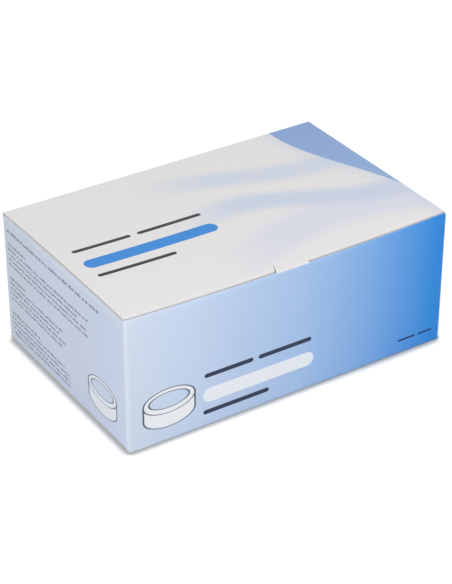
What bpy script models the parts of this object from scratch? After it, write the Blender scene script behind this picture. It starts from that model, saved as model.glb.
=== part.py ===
"""A boxed cervical collar: a tuck-top folding carton of micro-flute board that holds a
padded collar, fastened on itself, and a folded leaflet.

Metres. +Z is up, the front panel faces -Y, the left end faces -X, and the origin is the
middle of the base."""

import math

import bmesh
import bpy
from mathutils import Matrix

# Carton, outside sizes
LENGTH = 0.240
WIDTH = 0.156
HEIGHT = 0.097

# Board, and how it folds
BOARD = 0.0015
FOLD_INSIDE_RADIUS = 0.0004
FOLD_LIP = 0.0005
GAP = 0.0003

# Lid and its tuck flap
LID_SIDE_INSET = 0.0005
TUCK_CLEARANCE = 0.0003
TUCK_DEPTH = 0.018
TUCK_SIDE_INSET = 0.007
TUCK_CORNER_RADIUS = 0.011
TUCK_LEAN = math.radians(7.0)

# Lock tab on the front panel, and the notch for it in the lid
TAB_BASE_WIDTH = 0.025
TAB_TIP_WIDTH = 0.0185
TAB_DEPTH = 0.0085
TAB_CLEARANCE = 0.0004

# Dust flaps
DUST_DEPTH = 0.060
DUST_ROOT_ROOM = 0.0004
DUST_SHOULDER_STEP = 0.0010
DUST_SHOULDER_LENGTH = 0.003
DUST_TAPER = math.radians(22.0)
DUST_CORNER_RADIUS = 0.008

# Glue flap, inside the right end
GLUE_FLAP_WIDTH = 0.022
GLUE_FLAP_TAPER = 0.006

# Crash-lock base
BASE_SIDE_INSET = 0.0012
BASE_HOOK_STEP = 0.011
BASE_HOOK_SLANT = 0.014
BASE_END_FLAP_DEPTH = 0.074
BASE_END_FLAP_INSET = 0.0026
BASE_END_FLAP_TAPER = 0.016

# Collar, as it stands in the carton
COLLAR_LEFT_ROOM = 0.012
COLLAR_RIGHT_ROOM = 0.028
COLLAR_SIDE_ROOM = 0.0105
COLLAR_HEAD_ROOM = 0.0035
SHELL_THICKNESS = 0.0016
RIM_RADIUS = 0.007
RIM_GRIP = 0.0008
RIM_START_INSET = math.radians(5.0)
RIM_END_INSET = math.radians(0.5)
SHOULDER_ARCH = 0.010
CHIN_DIP = 0.011
CHIN_SPREAD = math.radians(38.0)
LINER_THICKNESS = 0.009
LINER_EDGE_SHARE = 0.35
LINER_RIM_ROOM = 0.0006

# Closure at the nape: angles run anticlockwise from +X, seen from above
BODY_START = math.radians(35.0)
BODY_END = math.radians(378.0)
TONGUE_ROOT = math.radians(25.0)
TONGUE_TIP = math.radians(-19.0)
TONGUE_RIM_ROOM = 0.0020
TONGUE_CORNER = 0.009
TAPE_THICKNESS = 0.0012
TAPE_EDGE_INSET = 0.006
TAPE_END_INSET = math.radians(3.5)

# Leaflet, folded in three, on edge at the right end
LEAF_THICKNESS = 0.0004
LEAF_PITCH = 0.0009
LEAFLET_WIDTH = 0.100
LEAFLET_HEIGHT = 0.074
LEAFLET_SHIFT = -0.008

# Colours
PRINT_WHITE = (0.86, 0.87, 0.88)
PRINT_PALE = (0.62, 0.70, 0.86)
PRINT_BLUE = (0.40, 0.60, 0.87)
BOARD_GREY = (0.74, 0.72, 0.68)
SHELL_WHITE = (0.90, 0.90, 0.88)
FOAM_BEIGE = (0.84, 0.80, 0.73)
RIM_IVORY = (0.88, 0.87, 0.84)
TAPE_WHITE = (0.93, 0.93, 0.92)
LOOP_WHITE = (0.88, 0.88, 0.86)
PAPER_WHITE = (0.93, 0.93, 0.91)

# What follows from those sizes
FOLD_RADIUS = BOARD + FOLD_INSIDE_RADIUS
CREASE = FOLD_RADIUS + FOLD_LIP
HALF_LENGTH = LENGTH / 2
HALF_WIDTH = WIDTH / 2
WALL_FOOT = CREASE + GAP
END_FLAP_UNDERSIDE = BOARD + GAP
END_WALL_FOOT = END_FLAP_UNDERSIDE + CREASE + GAP
FLOOR = END_FLAP_UNDERSIDE + BOARD
LID_FOOT = HEIGHT - CREASE
DUST_TOP = HEIGHT - BOARD - GAP
DUST_FOOT = DUST_TOP - CREASE
LID_FRONT = -HALF_WIDTH + CREASE + TUCK_CLEARANCE
FRONT_TOP = HEIGHT - GAP
FOLD_STEPS = 5


def fresh_scene():
    """Clear the start-up scene and make the two collections that hold the parts and cutters."""
    for old in list(bpy.data.objects):
        bpy.data.objects.remove(old, do_unlink=True)
    parts = bpy.data.collections.new("boxed_cervical_collar")
    cutters = bpy.data.collections.new("cutters")
    bpy.context.scene.collection.children.link(parts)
    bpy.context.scene.collection.children.link(cutters)
    return parts, cutters


PARTS, CUTTERS = fresh_scene()


def material(name, colour, roughness, metallic=0.0):
    made = bpy.data.materials.new(name)
    made.use_nodes = True
    shader = made.node_tree.nodes["Principled BSDF"]
    shader.inputs["Base Color"].default_value = (*colour, 1.0)
    shader.inputs["Roughness"].default_value = roughness
    shader.inputs["Metallic"].default_value = metallic
    return made


def surface(name, columns, rows, place, collection=PARTS):
    """A grid of columns by rows faces, with each point put at place(column, row).
    Its front is the side from which columns to rows turns anticlockwise."""
    shape = bmesh.new()
    bmesh.ops.create_grid(shape, x_segments=columns, y_segments=rows, size=1.0)
    for point in shape.verts:
        column = round((point.co.x + 1.0) / 2.0 * columns)
        row = round((point.co.y + 1.0) / 2.0 * rows)
        point.co = place(column, row)
    mesh = bpy.data.meshes.new(name)
    shape.to_mesh(mesh)
    shape.free()
    made = bpy.data.objects.new(name, mesh)
    collection.objects.link(made)
    return made


def thicken(part, thickness, offset=-1.0):
    """Give a surface its thickness: behind its front at offset -1, both ways at 0."""
    solid = part.modifiers.new("thickness", "SOLIDIFY")
    solid.thickness = thickness
    solid.offset = offset
    solid.use_even_offset = True
    return solid


def round_corners(part, radius, at):
    """Round the outline where at(point) holds, before the sheet gets its thickness."""
    group = part.vertex_groups.new(name="corners")
    corners = [point.index for point in part.data.vertices if at(point.co)]
    group.add(corners, 1.0, "REPLACE")
    bevel = part.modifiers.new("corners", "BEVEL")
    bevel.affect = "VERTICES"
    bevel.limit_method = "VGROUP"
    bevel.vertex_group = group.name
    bevel.width = radius
    bevel.segments = 6


def hang_on(part, axis_point):
    """Move the part's origin to a point of its hinge line, leaving the part in place."""
    part.data.transform(Matrix.Translation((-axis_point[0], -axis_point[1], -axis_point[2])))
    part.location = axis_point


def turned_copy(part, name):
    """The same piece at the other end of the carton: half a turn about the vertical."""
    made = part.copy()
    made.name = name
    made.location = (-part.location.x, -part.location.y, part.location.z)
    made.rotation_euler.z = math.pi
    PARTS.objects.link(made)
    return made


def cut(part, cutter):
    boolean = part.modifiers.new("cut", "BOOLEAN")
    boolean.operation = "DIFFERENCE"
    boolean.solver = "EXACT"
    boolean.object = cutter
    cutter.hide_render = True
    cutter.display_type = "WIRE"


def paint(part, look):
    part.data.materials.clear()
    part.data.materials.append(look)


def fold(centre, start, turn, steps=FOLD_STEPS):
    """Points round a crease's outside, from the start angle through turn, in degrees, with a
    short straight lip before and after."""
    points = []
    lip = math.copysign(FOLD_LIP, turn)
    for step, past in [(0, -lip)] + [(step, 0.0) for step in range(steps + 1)] + [(steps, lip)]:
        angle = math.radians(start + turn * step / steps)
        x = centre[0] + FOLD_RADIUS * math.cos(angle) - past * math.sin(angle)
        y = centre[1] + FOLD_RADIUS * math.sin(angle) + past * math.cos(angle)
        points.append((x, y))
    return points


# The four walls: one strip of board creased upright at the corners. The front and back
# panels carry the rounded corners, and the end panels lie flat between them.


def long_wall(name, top):
    left = fold((-HALF_LENGTH + FOLD_RADIUS, -HALF_WIDTH + FOLD_RADIUS), 180.0, 90.0)
    right = fold((HALF_LENGTH - FOLD_RADIUS, -HALF_WIDTH + FOLD_RADIUS), 270.0, 90.0)
    path = left + right

    def place(column, row):
        return (*path[column], (WALL_FOOT, top)[row])

    part = surface(name, len(path) - 1, 1, place)
    thicken(part, BOARD)
    return part


def end_wall(name):
    reach = HALF_WIDTH - CREASE - GAP

    def place(column, row):
        return (-HALF_LENGTH, (reach, -reach)[column], (END_WALL_FOOT, DUST_FOOT - GAP)[row])

    part = surface(name, 1, 1, place)
    thicken(part, BOARD)
    return part


front_print = material("printed_front", PRINT_BLUE, 0.45)
back_print = material("printed_back", PRINT_BLUE, 0.45)
left_print = material("printed_left_end", PRINT_PALE, 0.45)
right_print = material("printed_right_end", PRINT_PALE, 0.45)

front_panel = long_wall("front_panel", FRONT_TOP)
back_panel = long_wall("back_panel", LID_FOOT - GAP)
back_panel.rotation_euler.z = math.pi
left_end_panel = end_wall("left_end_panel")
right_end_panel = end_wall("right_end_panel")
right_end_panel.rotation_euler.z = math.pi
paint(front_panel, front_print)
paint(back_panel, back_print)
paint(left_end_panel, left_print)
paint(right_end_panel, right_print)


def tab_seat(column, row):
    side = (-1, 1)[column] * (TAB_BASE_WIDTH / 2 + TAB_CLEARANCE)
    return (side, -HALF_WIDTH - BOARD, (LID_FOOT - GAP, HEIGHT + BOARD)[row])


tab_seat_cutter = surface("tab_seat_cutter", 1, 1, tab_seat, CUTTERS)
thicken(tab_seat_cutter, 3 * BOARD)
cut(front_panel, tab_seat_cutter)

# Glue flap: the end of the blank, turned in behind the right end panel and glued there.


def glue_flap_point(column, row):
    back = HALF_WIDTH - BOARD - GAP
    y = (back - GLUE_FLAP_WIDTH, back)[column]
    inset = (GLUE_FLAP_TAPER, 0.0)[column]
    low = FLOOR + 2 * GAP + inset
    high = DUST_TOP - BOARD - 2 * GAP - inset
    return (HALF_LENGTH - BOARD - GAP, y, (low, high)[row])


glue_flap = surface("glue_flap", 1, 1, glue_flap_point)
thicken(glue_flap, BOARD)
paint(glue_flap, material("plain_board_glue_flap", BOARD_GREY, 0.85))

# Lid: creased off the top of the back panel, with its front edge turned down and a notch
# that the front panel's lock tab fills.


LID_REAR_FOLD = fold((HALF_WIDTH - FOLD_RADIUS, HEIGHT - FOLD_RADIUS), 0.0, 90.0)
LID_FRONT_FOLD = fold((LID_FRONT + FOLD_RADIUS, HEIGHT - FOLD_RADIUS), 90.0, 90.0)
LID_PATH = LID_REAR_FOLD + LID_FRONT_FOLD


def lid_point(column, row):
    side = (-1, 1)[row] * (HALF_LENGTH - LID_SIDE_INSET)
    return (side, *LID_PATH[column])


LID_AXIS = (0.0, HALF_WIDTH, LID_FOOT - GAP)
lid_panel = surface("lid_panel", len(LID_PATH) - 1, 1, lid_point)
thicken(lid_panel, BOARD)
paint(lid_panel, material("printed_lid", PRINT_WHITE, 0.45))


def notch_point(column, row):
    y = (-HALF_WIDTH - BOARD, -HALF_WIDTH + TAB_DEPTH + TAB_CLEARANCE)[row]
    slope = (TAB_BASE_WIDTH - TAB_TIP_WIDTH) / 2 / TAB_DEPTH
    half_width = TAB_BASE_WIDTH / 2 - slope * (y + HALF_WIDTH) + 2 * TAB_CLEARANCE
    return ((-1, 1)[column] * half_width, y, HEIGHT + BOARD)


notch_cutter = surface("notch_cutter", 1, 1, notch_point, CUTTERS)
thicken(notch_cutter, 2 * BOARD + FOLD_RADIUS)
cut(lid_panel, notch_cutter)
hang_on(lid_panel, LID_AXIS)
notch_cutter.location = (0.0, 0.0, 0.0)

# Tuck flap: hangs from the lid's front edge, inside the front panel, leaning in a little.


def tuck_point(column, row):
    down = (0.0, TUCK_DEPTH)[column]
    side = (-1, 1)[row] * (HALF_LENGTH - TUCK_SIDE_INSET)
    y = LID_FRONT + down * math.sin(TUCK_LEAN)
    return (side, y, LID_FOOT - GAP - down * math.cos(TUCK_LEAN))


TUCK_AXIS = (0.0, LID_FRONT, LID_FOOT - GAP / 2)
tuck_flap = surface("tuck_flap", 1, 1, tuck_point)
round_corners(tuck_flap, TUCK_CORNER_RADIUS, lambda point: point.z < LID_FOOT - TUCK_DEPTH / 2)
thicken(tuck_flap, BOARD)
paint(tuck_flap, material("printed_tuck_flap", PRINT_WHITE, 0.45))
hang_on(tuck_flap, TUCK_AXIS)
tuck_flap.parent = lid_panel
tuck_flap.location = [mine - its for mine, its in zip(TUCK_AXIS, LID_AXIS)]

# Lock tab: a tongue of the front panel, turned over the top edge into the lid's notch.


TAB_TIP = (-HALF_WIDTH + TAB_DEPTH, HEIGHT)
TAB_FOLD = fold((-HALF_WIDTH + FOLD_RADIUS, HEIGHT - FOLD_RADIUS), 90.0, 90.0)
TAB_PATH = [TAB_TIP] + TAB_FOLD


def tab_point(column, row):
    y, z = TAB_PATH[column]
    share = (y + HALF_WIDTH) / TAB_DEPTH
    width = TAB_BASE_WIDTH + (TAB_TIP_WIDTH - TAB_BASE_WIDTH) * share
    return ((-1, 1)[row] * width / 2, y, z)


TAB_AXIS = (0.0, -HALF_WIDTH, LID_FOOT - GAP)
lock_tab = surface("lock_tab", len(TAB_PATH) - 1, 1, tab_point)
thicken(lock_tab, BOARD)
paint(lock_tab, material("printed_lock_tab", PRINT_WHITE, 0.45))
hang_on(lock_tab, TAB_AXIS)

# Dust flaps: creased off the tops of the end panels, under the lid, tapered so that they
# swing up past it.


DUST_FOLD = fold((-HALF_LENGTH + FOLD_RADIUS, DUST_TOP - FOLD_RADIUS), 180.0, -90.0)
DUST_SHOULDER = (-HALF_LENGTH + CREASE + DUST_SHOULDER_LENGTH, DUST_TOP)
DUST_TIP = (-HALF_LENGTH + DUST_DEPTH, DUST_TOP)
DUST_PATH = DUST_FOLD + [DUST_SHOULDER, DUST_TIP]


def dust_point(column, row):
    x, z = DUST_PATH[column]
    reach = -LID_FRONT - BOARD - DUST_ROOT_ROOM
    if x >= DUST_SHOULDER[0]:
        reach -= DUST_SHOULDER_STEP + (x - DUST_SHOULDER[0]) * math.tan(DUST_TAPER)
    return (x, (-1, 1)[row] * reach, z)


DUST_AXIS = (-HALF_LENGTH, 0.0, DUST_FOOT - GAP)
left_dust_flap = surface("left_dust_flap", len(DUST_PATH) - 1, 1, dust_point)
round_corners(
    left_dust_flap, DUST_CORNER_RADIUS, lambda point: point.x > -HALF_LENGTH + DUST_DEPTH / 2
)
thicken(left_dust_flap, BOARD)
paint(left_dust_flap, material("plain_board_dust_flaps", PRINT_PALE, 0.6))
hang_on(left_dust_flap, DUST_AXIS)
right_dust_flap = turned_copy(left_dust_flap, "right_dust_flap")

# Crash-lock base: the front and back flaps hook into each other along the middle, and the
# end flaps lie on top of them inside.


BASE_FOLD = fold((-HALF_WIDTH + FOLD_RADIUS, FOLD_RADIUS), 180.0, 90.0)


def base_long_point(column, row):
    half = HALF_LENGTH - BASE_SIDE_INSET
    x = (-half, -BASE_HOOK_SLANT, BASE_HOOK_SLANT, half)[row]
    tip = (BASE_HOOK_STEP, BASE_HOOK_STEP, -BASE_HOOK_STEP, -BASE_HOOK_STEP)[row] - GAP
    return (x, *(BASE_FOLD + [(tip, 0.0)])[column])


bottom_front_flap = surface("bottom_front_flap", len(BASE_FOLD), 3, base_long_point)
thicken(bottom_front_flap, BOARD)
paint(bottom_front_flap, material("printed_base_flaps", PRINT_PALE, 0.5))
bottom_back_flap = turned_copy(bottom_front_flap, "bottom_back_flap")


BASE_END_TIP = (-HALF_LENGTH + BASE_END_FLAP_DEPTH, END_FLAP_UNDERSIDE)
BASE_END_CENTRE = (-HALF_LENGTH + FOLD_RADIUS, END_FLAP_UNDERSIDE + FOLD_RADIUS)
BASE_END_PATH = [BASE_END_TIP] + fold(BASE_END_CENTRE, 270.0, -90.0)


def base_end_point(column, row):
    x, z = BASE_END_PATH[column]
    reach = HALF_WIDTH - BASE_END_FLAP_INSET - (BASE_END_FLAP_TAPER if column == 0 else 0.0)
    return (x, (-1, 1)[row] * reach, z)


bottom_left_flap = surface("bottom_left_flap", len(BASE_END_PATH) - 1, 1, base_end_point)
thicken(bottom_left_flap, BOARD)
paint(bottom_left_flap, material("plain_board_base_end_flaps", BOARD_GREY, 0.85))
bottom_right_flap = turned_copy(bottom_left_flap, "bottom_right_flap")

# Collar: a shell bent to an oval, chin at the left, with a tongue that tucks behind its
# other end at the nape. A padded rim grips each edge, and a crowned foam liner lies inside.

COLLAR_LOW_X = -HALF_LENGTH + BOARD + COLLAR_LEFT_ROOM
COLLAR_HIGH_X = HALF_LENGTH - BOARD - COLLAR_RIGHT_ROOM
COLLAR_X = (COLLAR_LOW_X + COLLAR_HIGH_X) / 2
OVAL_A = (COLLAR_HIGH_X - COLLAR_LOW_X) / 2 - RIM_RADIUS
OVAL_B = HALF_WIDTH - BOARD - COLLAR_SIDE_ROOM - RIM_RADIUS
COLLAR_FOOT = FLOOR + GAP
COLLAR_TOP = DUST_TOP - BOARD - COLLAR_HEAD_ROOM
TONGUE_OFFSET = -(SHELL_THICKNESS + 2 * TAPE_THICKNESS + 3 * GAP)


def ease(share):
    share = min(1.0, max(0.0, share))
    return share * share * (3.0 - 2.0 * share)


def oval(angle, offset=0.0):
    """The shell's middle surface in plan, moved out along its normal by offset."""
    across = math.hypot(OVAL_B * math.cos(angle), OVAL_A * math.sin(angle))
    x = COLLAR_X + OVAL_A * math.cos(angle) + offset * OVAL_B * math.cos(angle) / across
    y = OVAL_B * math.sin(angle) + offset * OVAL_A * math.sin(angle) / across
    return x, y


def rim_heights(angle):
    """Heights of the lower and upper rim's middle: arched over the shoulders, dipped at the chin."""
    low = COLLAR_FOOT + RIM_RADIUS + SHOULDER_ARCH * math.sin(angle) ** 2
    dip = CHIN_DIP * math.exp(-(((angle - math.pi) / CHIN_SPREAD) ** 2))
    return low, COLLAR_TOP - RIM_RADIUS - dip


def shell_edges(angle):
    """The shell's lower and upper edge: in the rims' slots, and narrower along the tongue."""
    low, high = rim_heights(angle)
    narrow = RIM_RADIUS + TONGUE_RIM_ROOM
    share = ease((BODY_START - angle) / (BODY_START - TONGUE_ROOT))
    inset = (narrow + RIM_GRIP) * share - RIM_GRIP
    to_tip = (angle - TONGUE_TIP) * OVAL_B
    if to_tip < TONGUE_CORNER:
        reach = 1.0 - to_tip / TONGUE_CORNER
        inset += TONGUE_CORNER * (1.0 - math.sqrt(max(0.0, 1.0 - reach * reach)))
    return low + inset, high - inset


def shell_offset(angle):
    return TONGUE_OFFSET * ease((BODY_START - angle) / (BODY_START - TONGUE_ROOT))


def between(first, last, step, steps):
    return first + (last - first) * step / steps


def bent_band(name, columns, rows, first, last, offset_at, edges_at):
    """A band round the oval from the first angle to the last, its front facing outwards."""

    def place(column, row):
        angle = between(first, last, column, columns)
        low, high = edges_at(angle)
        return (*oval(angle, offset_at(angle)), between(low, high, row, rows))

    return surface(name, columns, rows, place)


collar_shell = bent_band("collar_shell", 88, 4, TONGUE_TIP, BODY_END, shell_offset, shell_edges)
thicken(collar_shell, SHELL_THICKNESS, 0.0)
paint(collar_shell, material("moulded_shell", SHELL_WHITE, 0.4))

LINER_START = BODY_START + TAPE_END_INSET
LINER_END = TONGUE_TIP + math.tau - TAPE_END_INSET
LINER_COLUMNS = 64
LINER_ROWS = 8


def liner_edges(angle):
    low, high = rim_heights(angle)
    return low + RIM_RADIUS + LINER_RIM_ROOM, high - RIM_RADIUS - LINER_RIM_ROOM


def liner_offset(angle):
    return -(SHELL_THICKNESS / 2 + GAP)


collar_liner = bent_band(
    "collar_liner", LINER_COLUMNS, LINER_ROWS, LINER_START, LINER_END, liner_offset, liner_edges
)
crown = collar_liner.vertex_groups.new(name="crown")
for row in range(LINER_ROWS + 1):
    full = math.sin(math.pi * row / LINER_ROWS) ** 0.6 if 0 < row < LINER_ROWS else 0.0
    for column in range(LINER_COLUMNS + 1):
        to_end = min(column, LINER_COLUMNS - column) / 3.0
        crown.add([row * (LINER_COLUMNS + 1) + column], full * ease(to_end), "REPLACE")
pad = thicken(collar_liner, LINER_THICKNESS)
pad.vertex_group = crown.name
pad.thickness_vertex_group = LINER_EDGE_SHARE
paint(collar_liner, material("foam_liner", FOAM_BEIGE, 0.95))


def rim_profile(opening):
    """A round bead with a slot for the shell's edge, open towards opening, -1 or 1, in height."""
    half_slot = SHELL_THICKNESS / 2 + GAP
    depth = RIM_GRIP + GAP
    mouth = math.asin(half_slot / RIM_RADIUS)
    steps = 14
    points = [(half_slot, -depth * opening), (-half_slot, -depth * opening)]
    for step in range(steps + 1):
        angle = between(mouth, math.tau - mouth, step, steps)
        points.append((-RIM_RADIUS * math.sin(angle), RIM_RADIUS * math.cos(angle) * opening))
    return points if opening < 0 else points[::-1]


def rim(name, opening, height_at):
    """The rim pad: its profile carried round the oval along the shell's edge."""
    outline = bpy.data.curves.new(name + "_profile", "CURVE")
    outline.dimensions = "2D"
    spline = outline.splines.new("POLY")
    points = rim_profile(opening)
    spline.points.add(len(points) - 1)
    for point, (x, y) in zip(spline.points, points):
        point.co = (x, y, 0.0, 1.0)
    spline.use_cyclic_u = True
    profile = bpy.data.objects.new(name + "_profile", outline)
    profile.hide_render = True
    CUTTERS.objects.link(profile)

    path = bpy.data.curves.new(name, "CURVE")
    path.dimensions = "3D"
    path.twist_mode = "Z_UP"
    path.bevel_mode = "OBJECT"
    path.bevel_object = profile
    path.use_fill_caps = True
    spline = path.splines.new("POLY")
    steps = 60
    spline.points.add(steps)
    for step, point in enumerate(spline.points):
        angle = between(BODY_START + RIM_START_INSET, BODY_END - RIM_END_INSET, step, steps)
        point.co = (*oval(angle), height_at(angle), 1.0)
    part = bpy.data.objects.new(name, path)
    PARTS.objects.link(part)
    return part


rim_cover = material("padded_rim", RIM_IVORY, 0.7)
upper_rim_pad = rim("upper_rim_pad", -1, lambda angle: rim_heights(angle)[1])
lower_rim_pad = rim("lower_rim_pad", 1, lambda angle: rim_heights(angle)[0])
paint(upper_rim_pad, rim_cover)
paint(lower_rim_pad, rim_cover)

# Fastening tape: hooks inside the outer end, loops on the tongue, pressed together.


def tape_edges(angle):
    low, high = shell_edges(TONGUE_ROOT)
    return low + TAPE_EDGE_INSET, high - TAPE_EDGE_INSET


HOOK_MIDDLE = -(SHELL_THICKNESS / 2 + GAP + TAPE_THICKNESS / 2)
LOOP_MIDDLE = HOOK_MIDDLE - TAPE_THICKNESS - GAP
TAPE_START = TONGUE_TIP + TAPE_END_INSET
TAPE_END = BODY_END - math.tau - TAPE_END_INSET

hook_strip = bent_band(
    "hook_strip", 12, 1, TAPE_START, TAPE_END, lambda angle: HOOK_MIDDLE, tape_edges
)
thicken(hook_strip, TAPE_THICKNESS, 0.0)
paint(hook_strip, material("hook_tape", TAPE_WHITE, 0.6))

loop_strip = bent_band(
    "loop_strip", 12, 1, TAPE_START, TAPE_END, lambda angle: LOOP_MIDDLE, tape_edges
)
thicken(loop_strip, TAPE_THICKNESS, 0.0)
paint(loop_strip, material("loop_tape", LOOP_WHITE, 0.95))

# Leaflet: one sheet folded in three, standing on edge against the right end.


def leaflet_path():
    wall = HALF_LENGTH - BOARD - GAP - LEAF_THICKNESS / 2
    low = LEAFLET_SHIFT - LEAFLET_WIDTH / 2
    high = LEAFLET_SHIFT + LEAFLET_WIDTH / 2
    turn = LEAF_PITCH / 2
    points = [(wall, low)]
    for step in range(7):
        angle = math.radians(30.0 * step)
        points.append((wall - turn + turn * math.cos(angle), high + turn * math.sin(angle)))
    for step in range(7):
        angle = math.radians(-30.0 * step)
        x = wall - LEAF_PITCH - turn + turn * math.cos(angle)
        points.append((x, low + turn * math.sin(angle)))
    points.append((wall - 2 * LEAF_PITCH, high))
    return points


LEAFLET_PATH = leaflet_path()


def leaflet_point(column, row):
    foot = FLOOR + GAP
    return (*LEAFLET_PATH[column], (foot, foot + LEAFLET_HEIGHT)[row])


leaflet = surface("leaflet", len(LEAFLET_PATH) - 1, 1, leaflet_point)
thicken(leaflet, LEAF_THICKNESS, 0.0)
paint(leaflet, material("leaflet_paper", PAPER_WHITE, 0.85))
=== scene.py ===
import bpy
import numpy as np
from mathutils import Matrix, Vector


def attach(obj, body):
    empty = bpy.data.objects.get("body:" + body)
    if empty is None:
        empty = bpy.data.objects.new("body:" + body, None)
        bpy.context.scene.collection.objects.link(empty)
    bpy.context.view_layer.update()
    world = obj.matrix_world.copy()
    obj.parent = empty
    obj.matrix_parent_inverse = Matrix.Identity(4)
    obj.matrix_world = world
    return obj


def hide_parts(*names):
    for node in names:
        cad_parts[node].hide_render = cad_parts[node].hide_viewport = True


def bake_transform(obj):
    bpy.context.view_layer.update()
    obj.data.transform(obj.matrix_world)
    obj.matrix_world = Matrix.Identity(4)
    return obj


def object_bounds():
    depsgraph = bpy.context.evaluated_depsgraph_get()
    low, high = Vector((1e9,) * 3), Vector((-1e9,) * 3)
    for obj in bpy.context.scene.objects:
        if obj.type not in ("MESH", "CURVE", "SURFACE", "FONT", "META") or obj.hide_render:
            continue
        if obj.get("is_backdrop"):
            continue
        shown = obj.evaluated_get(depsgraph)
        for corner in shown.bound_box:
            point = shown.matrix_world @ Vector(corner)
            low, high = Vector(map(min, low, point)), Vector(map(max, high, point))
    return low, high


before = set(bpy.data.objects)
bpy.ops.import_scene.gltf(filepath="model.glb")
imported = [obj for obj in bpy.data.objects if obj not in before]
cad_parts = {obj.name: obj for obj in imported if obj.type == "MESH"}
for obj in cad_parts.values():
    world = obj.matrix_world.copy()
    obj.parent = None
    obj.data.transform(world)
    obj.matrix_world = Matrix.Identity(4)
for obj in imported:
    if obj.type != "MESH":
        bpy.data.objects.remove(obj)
cad_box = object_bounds()

# Front wall: micro-flute board, coated and printed outside, creased upright at both corners. Its
# top edge is crushed by the die and sinks a little in the middle, where it is cut down for the
# lock tab.

HALF_X = 0.120
HALF_Y = 0.078
TOP = 0.097
BOARD = 0.0015
FOLD = 0.0019
LIP = 0.0024
FLUTE = 0.0028
HAIR = 1e-5
END_REACH = HALF_Y - LIP
WALL_FOOT = 0.0024
FRONT_TOP = 0.0967
FRONT_CRUSH = 0.0007
FRONT_BOW = 0.0004
FRONT_SAG = 0.0020
FRONT_SPAN = 0.117
FRONT_FULL = 0.092
TAB_SEAT = 0.0943
TAB_SLIT = 0.0127
EDGE_NEAR = 0.0013
WEAR_REACH = 0.0014
WEAR_FADE = 0.0005
INK_EDGE = 0.0001
SIGN_OUTLINE = 0.00028
SIGN_LINE = 0.00024


def srgb(red, green, blue):
    """A printed colour, 0 to 255, as linear light: ((c / 255 + 0.055) / 1.055) to the power 2.4."""
    light = ((np.array((red, green, blue)) / 255 + 0.055) / 1.055) ** 2.4
    return (*light.tolist(), 1.0)


def straight(start, end, count):
    """Even steps from start towards end, without the last, with the normal to the right of
    travel."""
    start, end = np.array(start, float), np.array(end, float)
    share = np.linspace(0, 1, count, endpoint=False)[:, None]
    step = (end - start) / np.linalg.norm(end - start)
    return start + share * (end - start), np.tile((step[1], -step[0]), (count, 1))


def crease(centre, first, last, count=8, radius=FOLD, side=1.0):
    """Points round a crease's outside: centre + radius times (cos, sin), from the first angle
    towards the last, without it, and their normals, which face the centre if side is -1."""
    angle = np.radians(np.linspace(first, last, count, endpoint=False))
    out = np.stack([np.cos(angle), np.sin(angle)], 1)
    return np.array(centre) + radius * out, side * out


def ending(point, normal):
    """The closing point of a path, as a run of one."""
    return np.array([point], float), np.array([normal], float)


def joined(*runs):
    """Runs of (points, normals) end to end, as five columns: the points' two places, the normals'
    two parts, and the length along from the first point."""
    points = np.concatenate([run[0] for run in runs])
    normals = np.concatenate([run[1] for run in runs])
    steps = np.linalg.norm(np.diff(points, axis=0), axis=1)
    along = np.concatenate([[0.0], np.cumsum(steps)])
    return points[:, :1], points[:, 1:], normals[:, :1], normals[:, 1:], along[:, None]


def eased(count):
    """Shares from 0 to 1 that crowd towards both ends: half of 1 - cos(pi s)."""
    return 0.5 - 0.5 * np.cos(np.pi * np.linspace(0, 1, count))


def hump(share):
    """1 in the middle and 0 at both ends: 1 - share squared, with share from -1 to 1."""
    return np.clip(1.0 - share**2, 0.0, None)


def grid(*arrays):
    """Arrays of rows and columns, stacked as the points of one surface."""
    return np.stack(np.broadcast_arrays(*arrays), -1).astype(float)


def quads(index, beside):
    """Faces between the rows of a grid of point numbers and the numbers beside them."""
    return np.stack([index[:-1], beside[:-1], beside[1:], index[1:]], -1).reshape(-1, 4)


def new_piece(name, points, faces, looks, sharp=0.6, **held):
    """One mesh object at the origin: points, faces, its materials, smooth shading with creases
    sharper than an angle, and attributes of one or three numbers for each point."""
    mesh = bpy.data.meshes.new(name)
    mesh.from_pydata(points, [], faces)
    for look in looks:
        mesh.materials.append(look)
    for title, values in held.items():
        flat = values.ndim == 1
        data = mesh.attributes.new(title, "FLOAT" if flat else "FLOAT_VECTOR", "POINT").data
        data.foreach_set("value" if flat else "vector", values.astype(np.float32).ravel())
    mesh.polygons.foreach_set("use_smooth", np.ones(len(mesh.polygons), bool))
    mesh.set_sharp_from_angle(angle=sharp)
    made = bpy.data.objects.new(name, mesh)
    bpy.context.scene.collection.objects.link(made)
    return made


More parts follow.
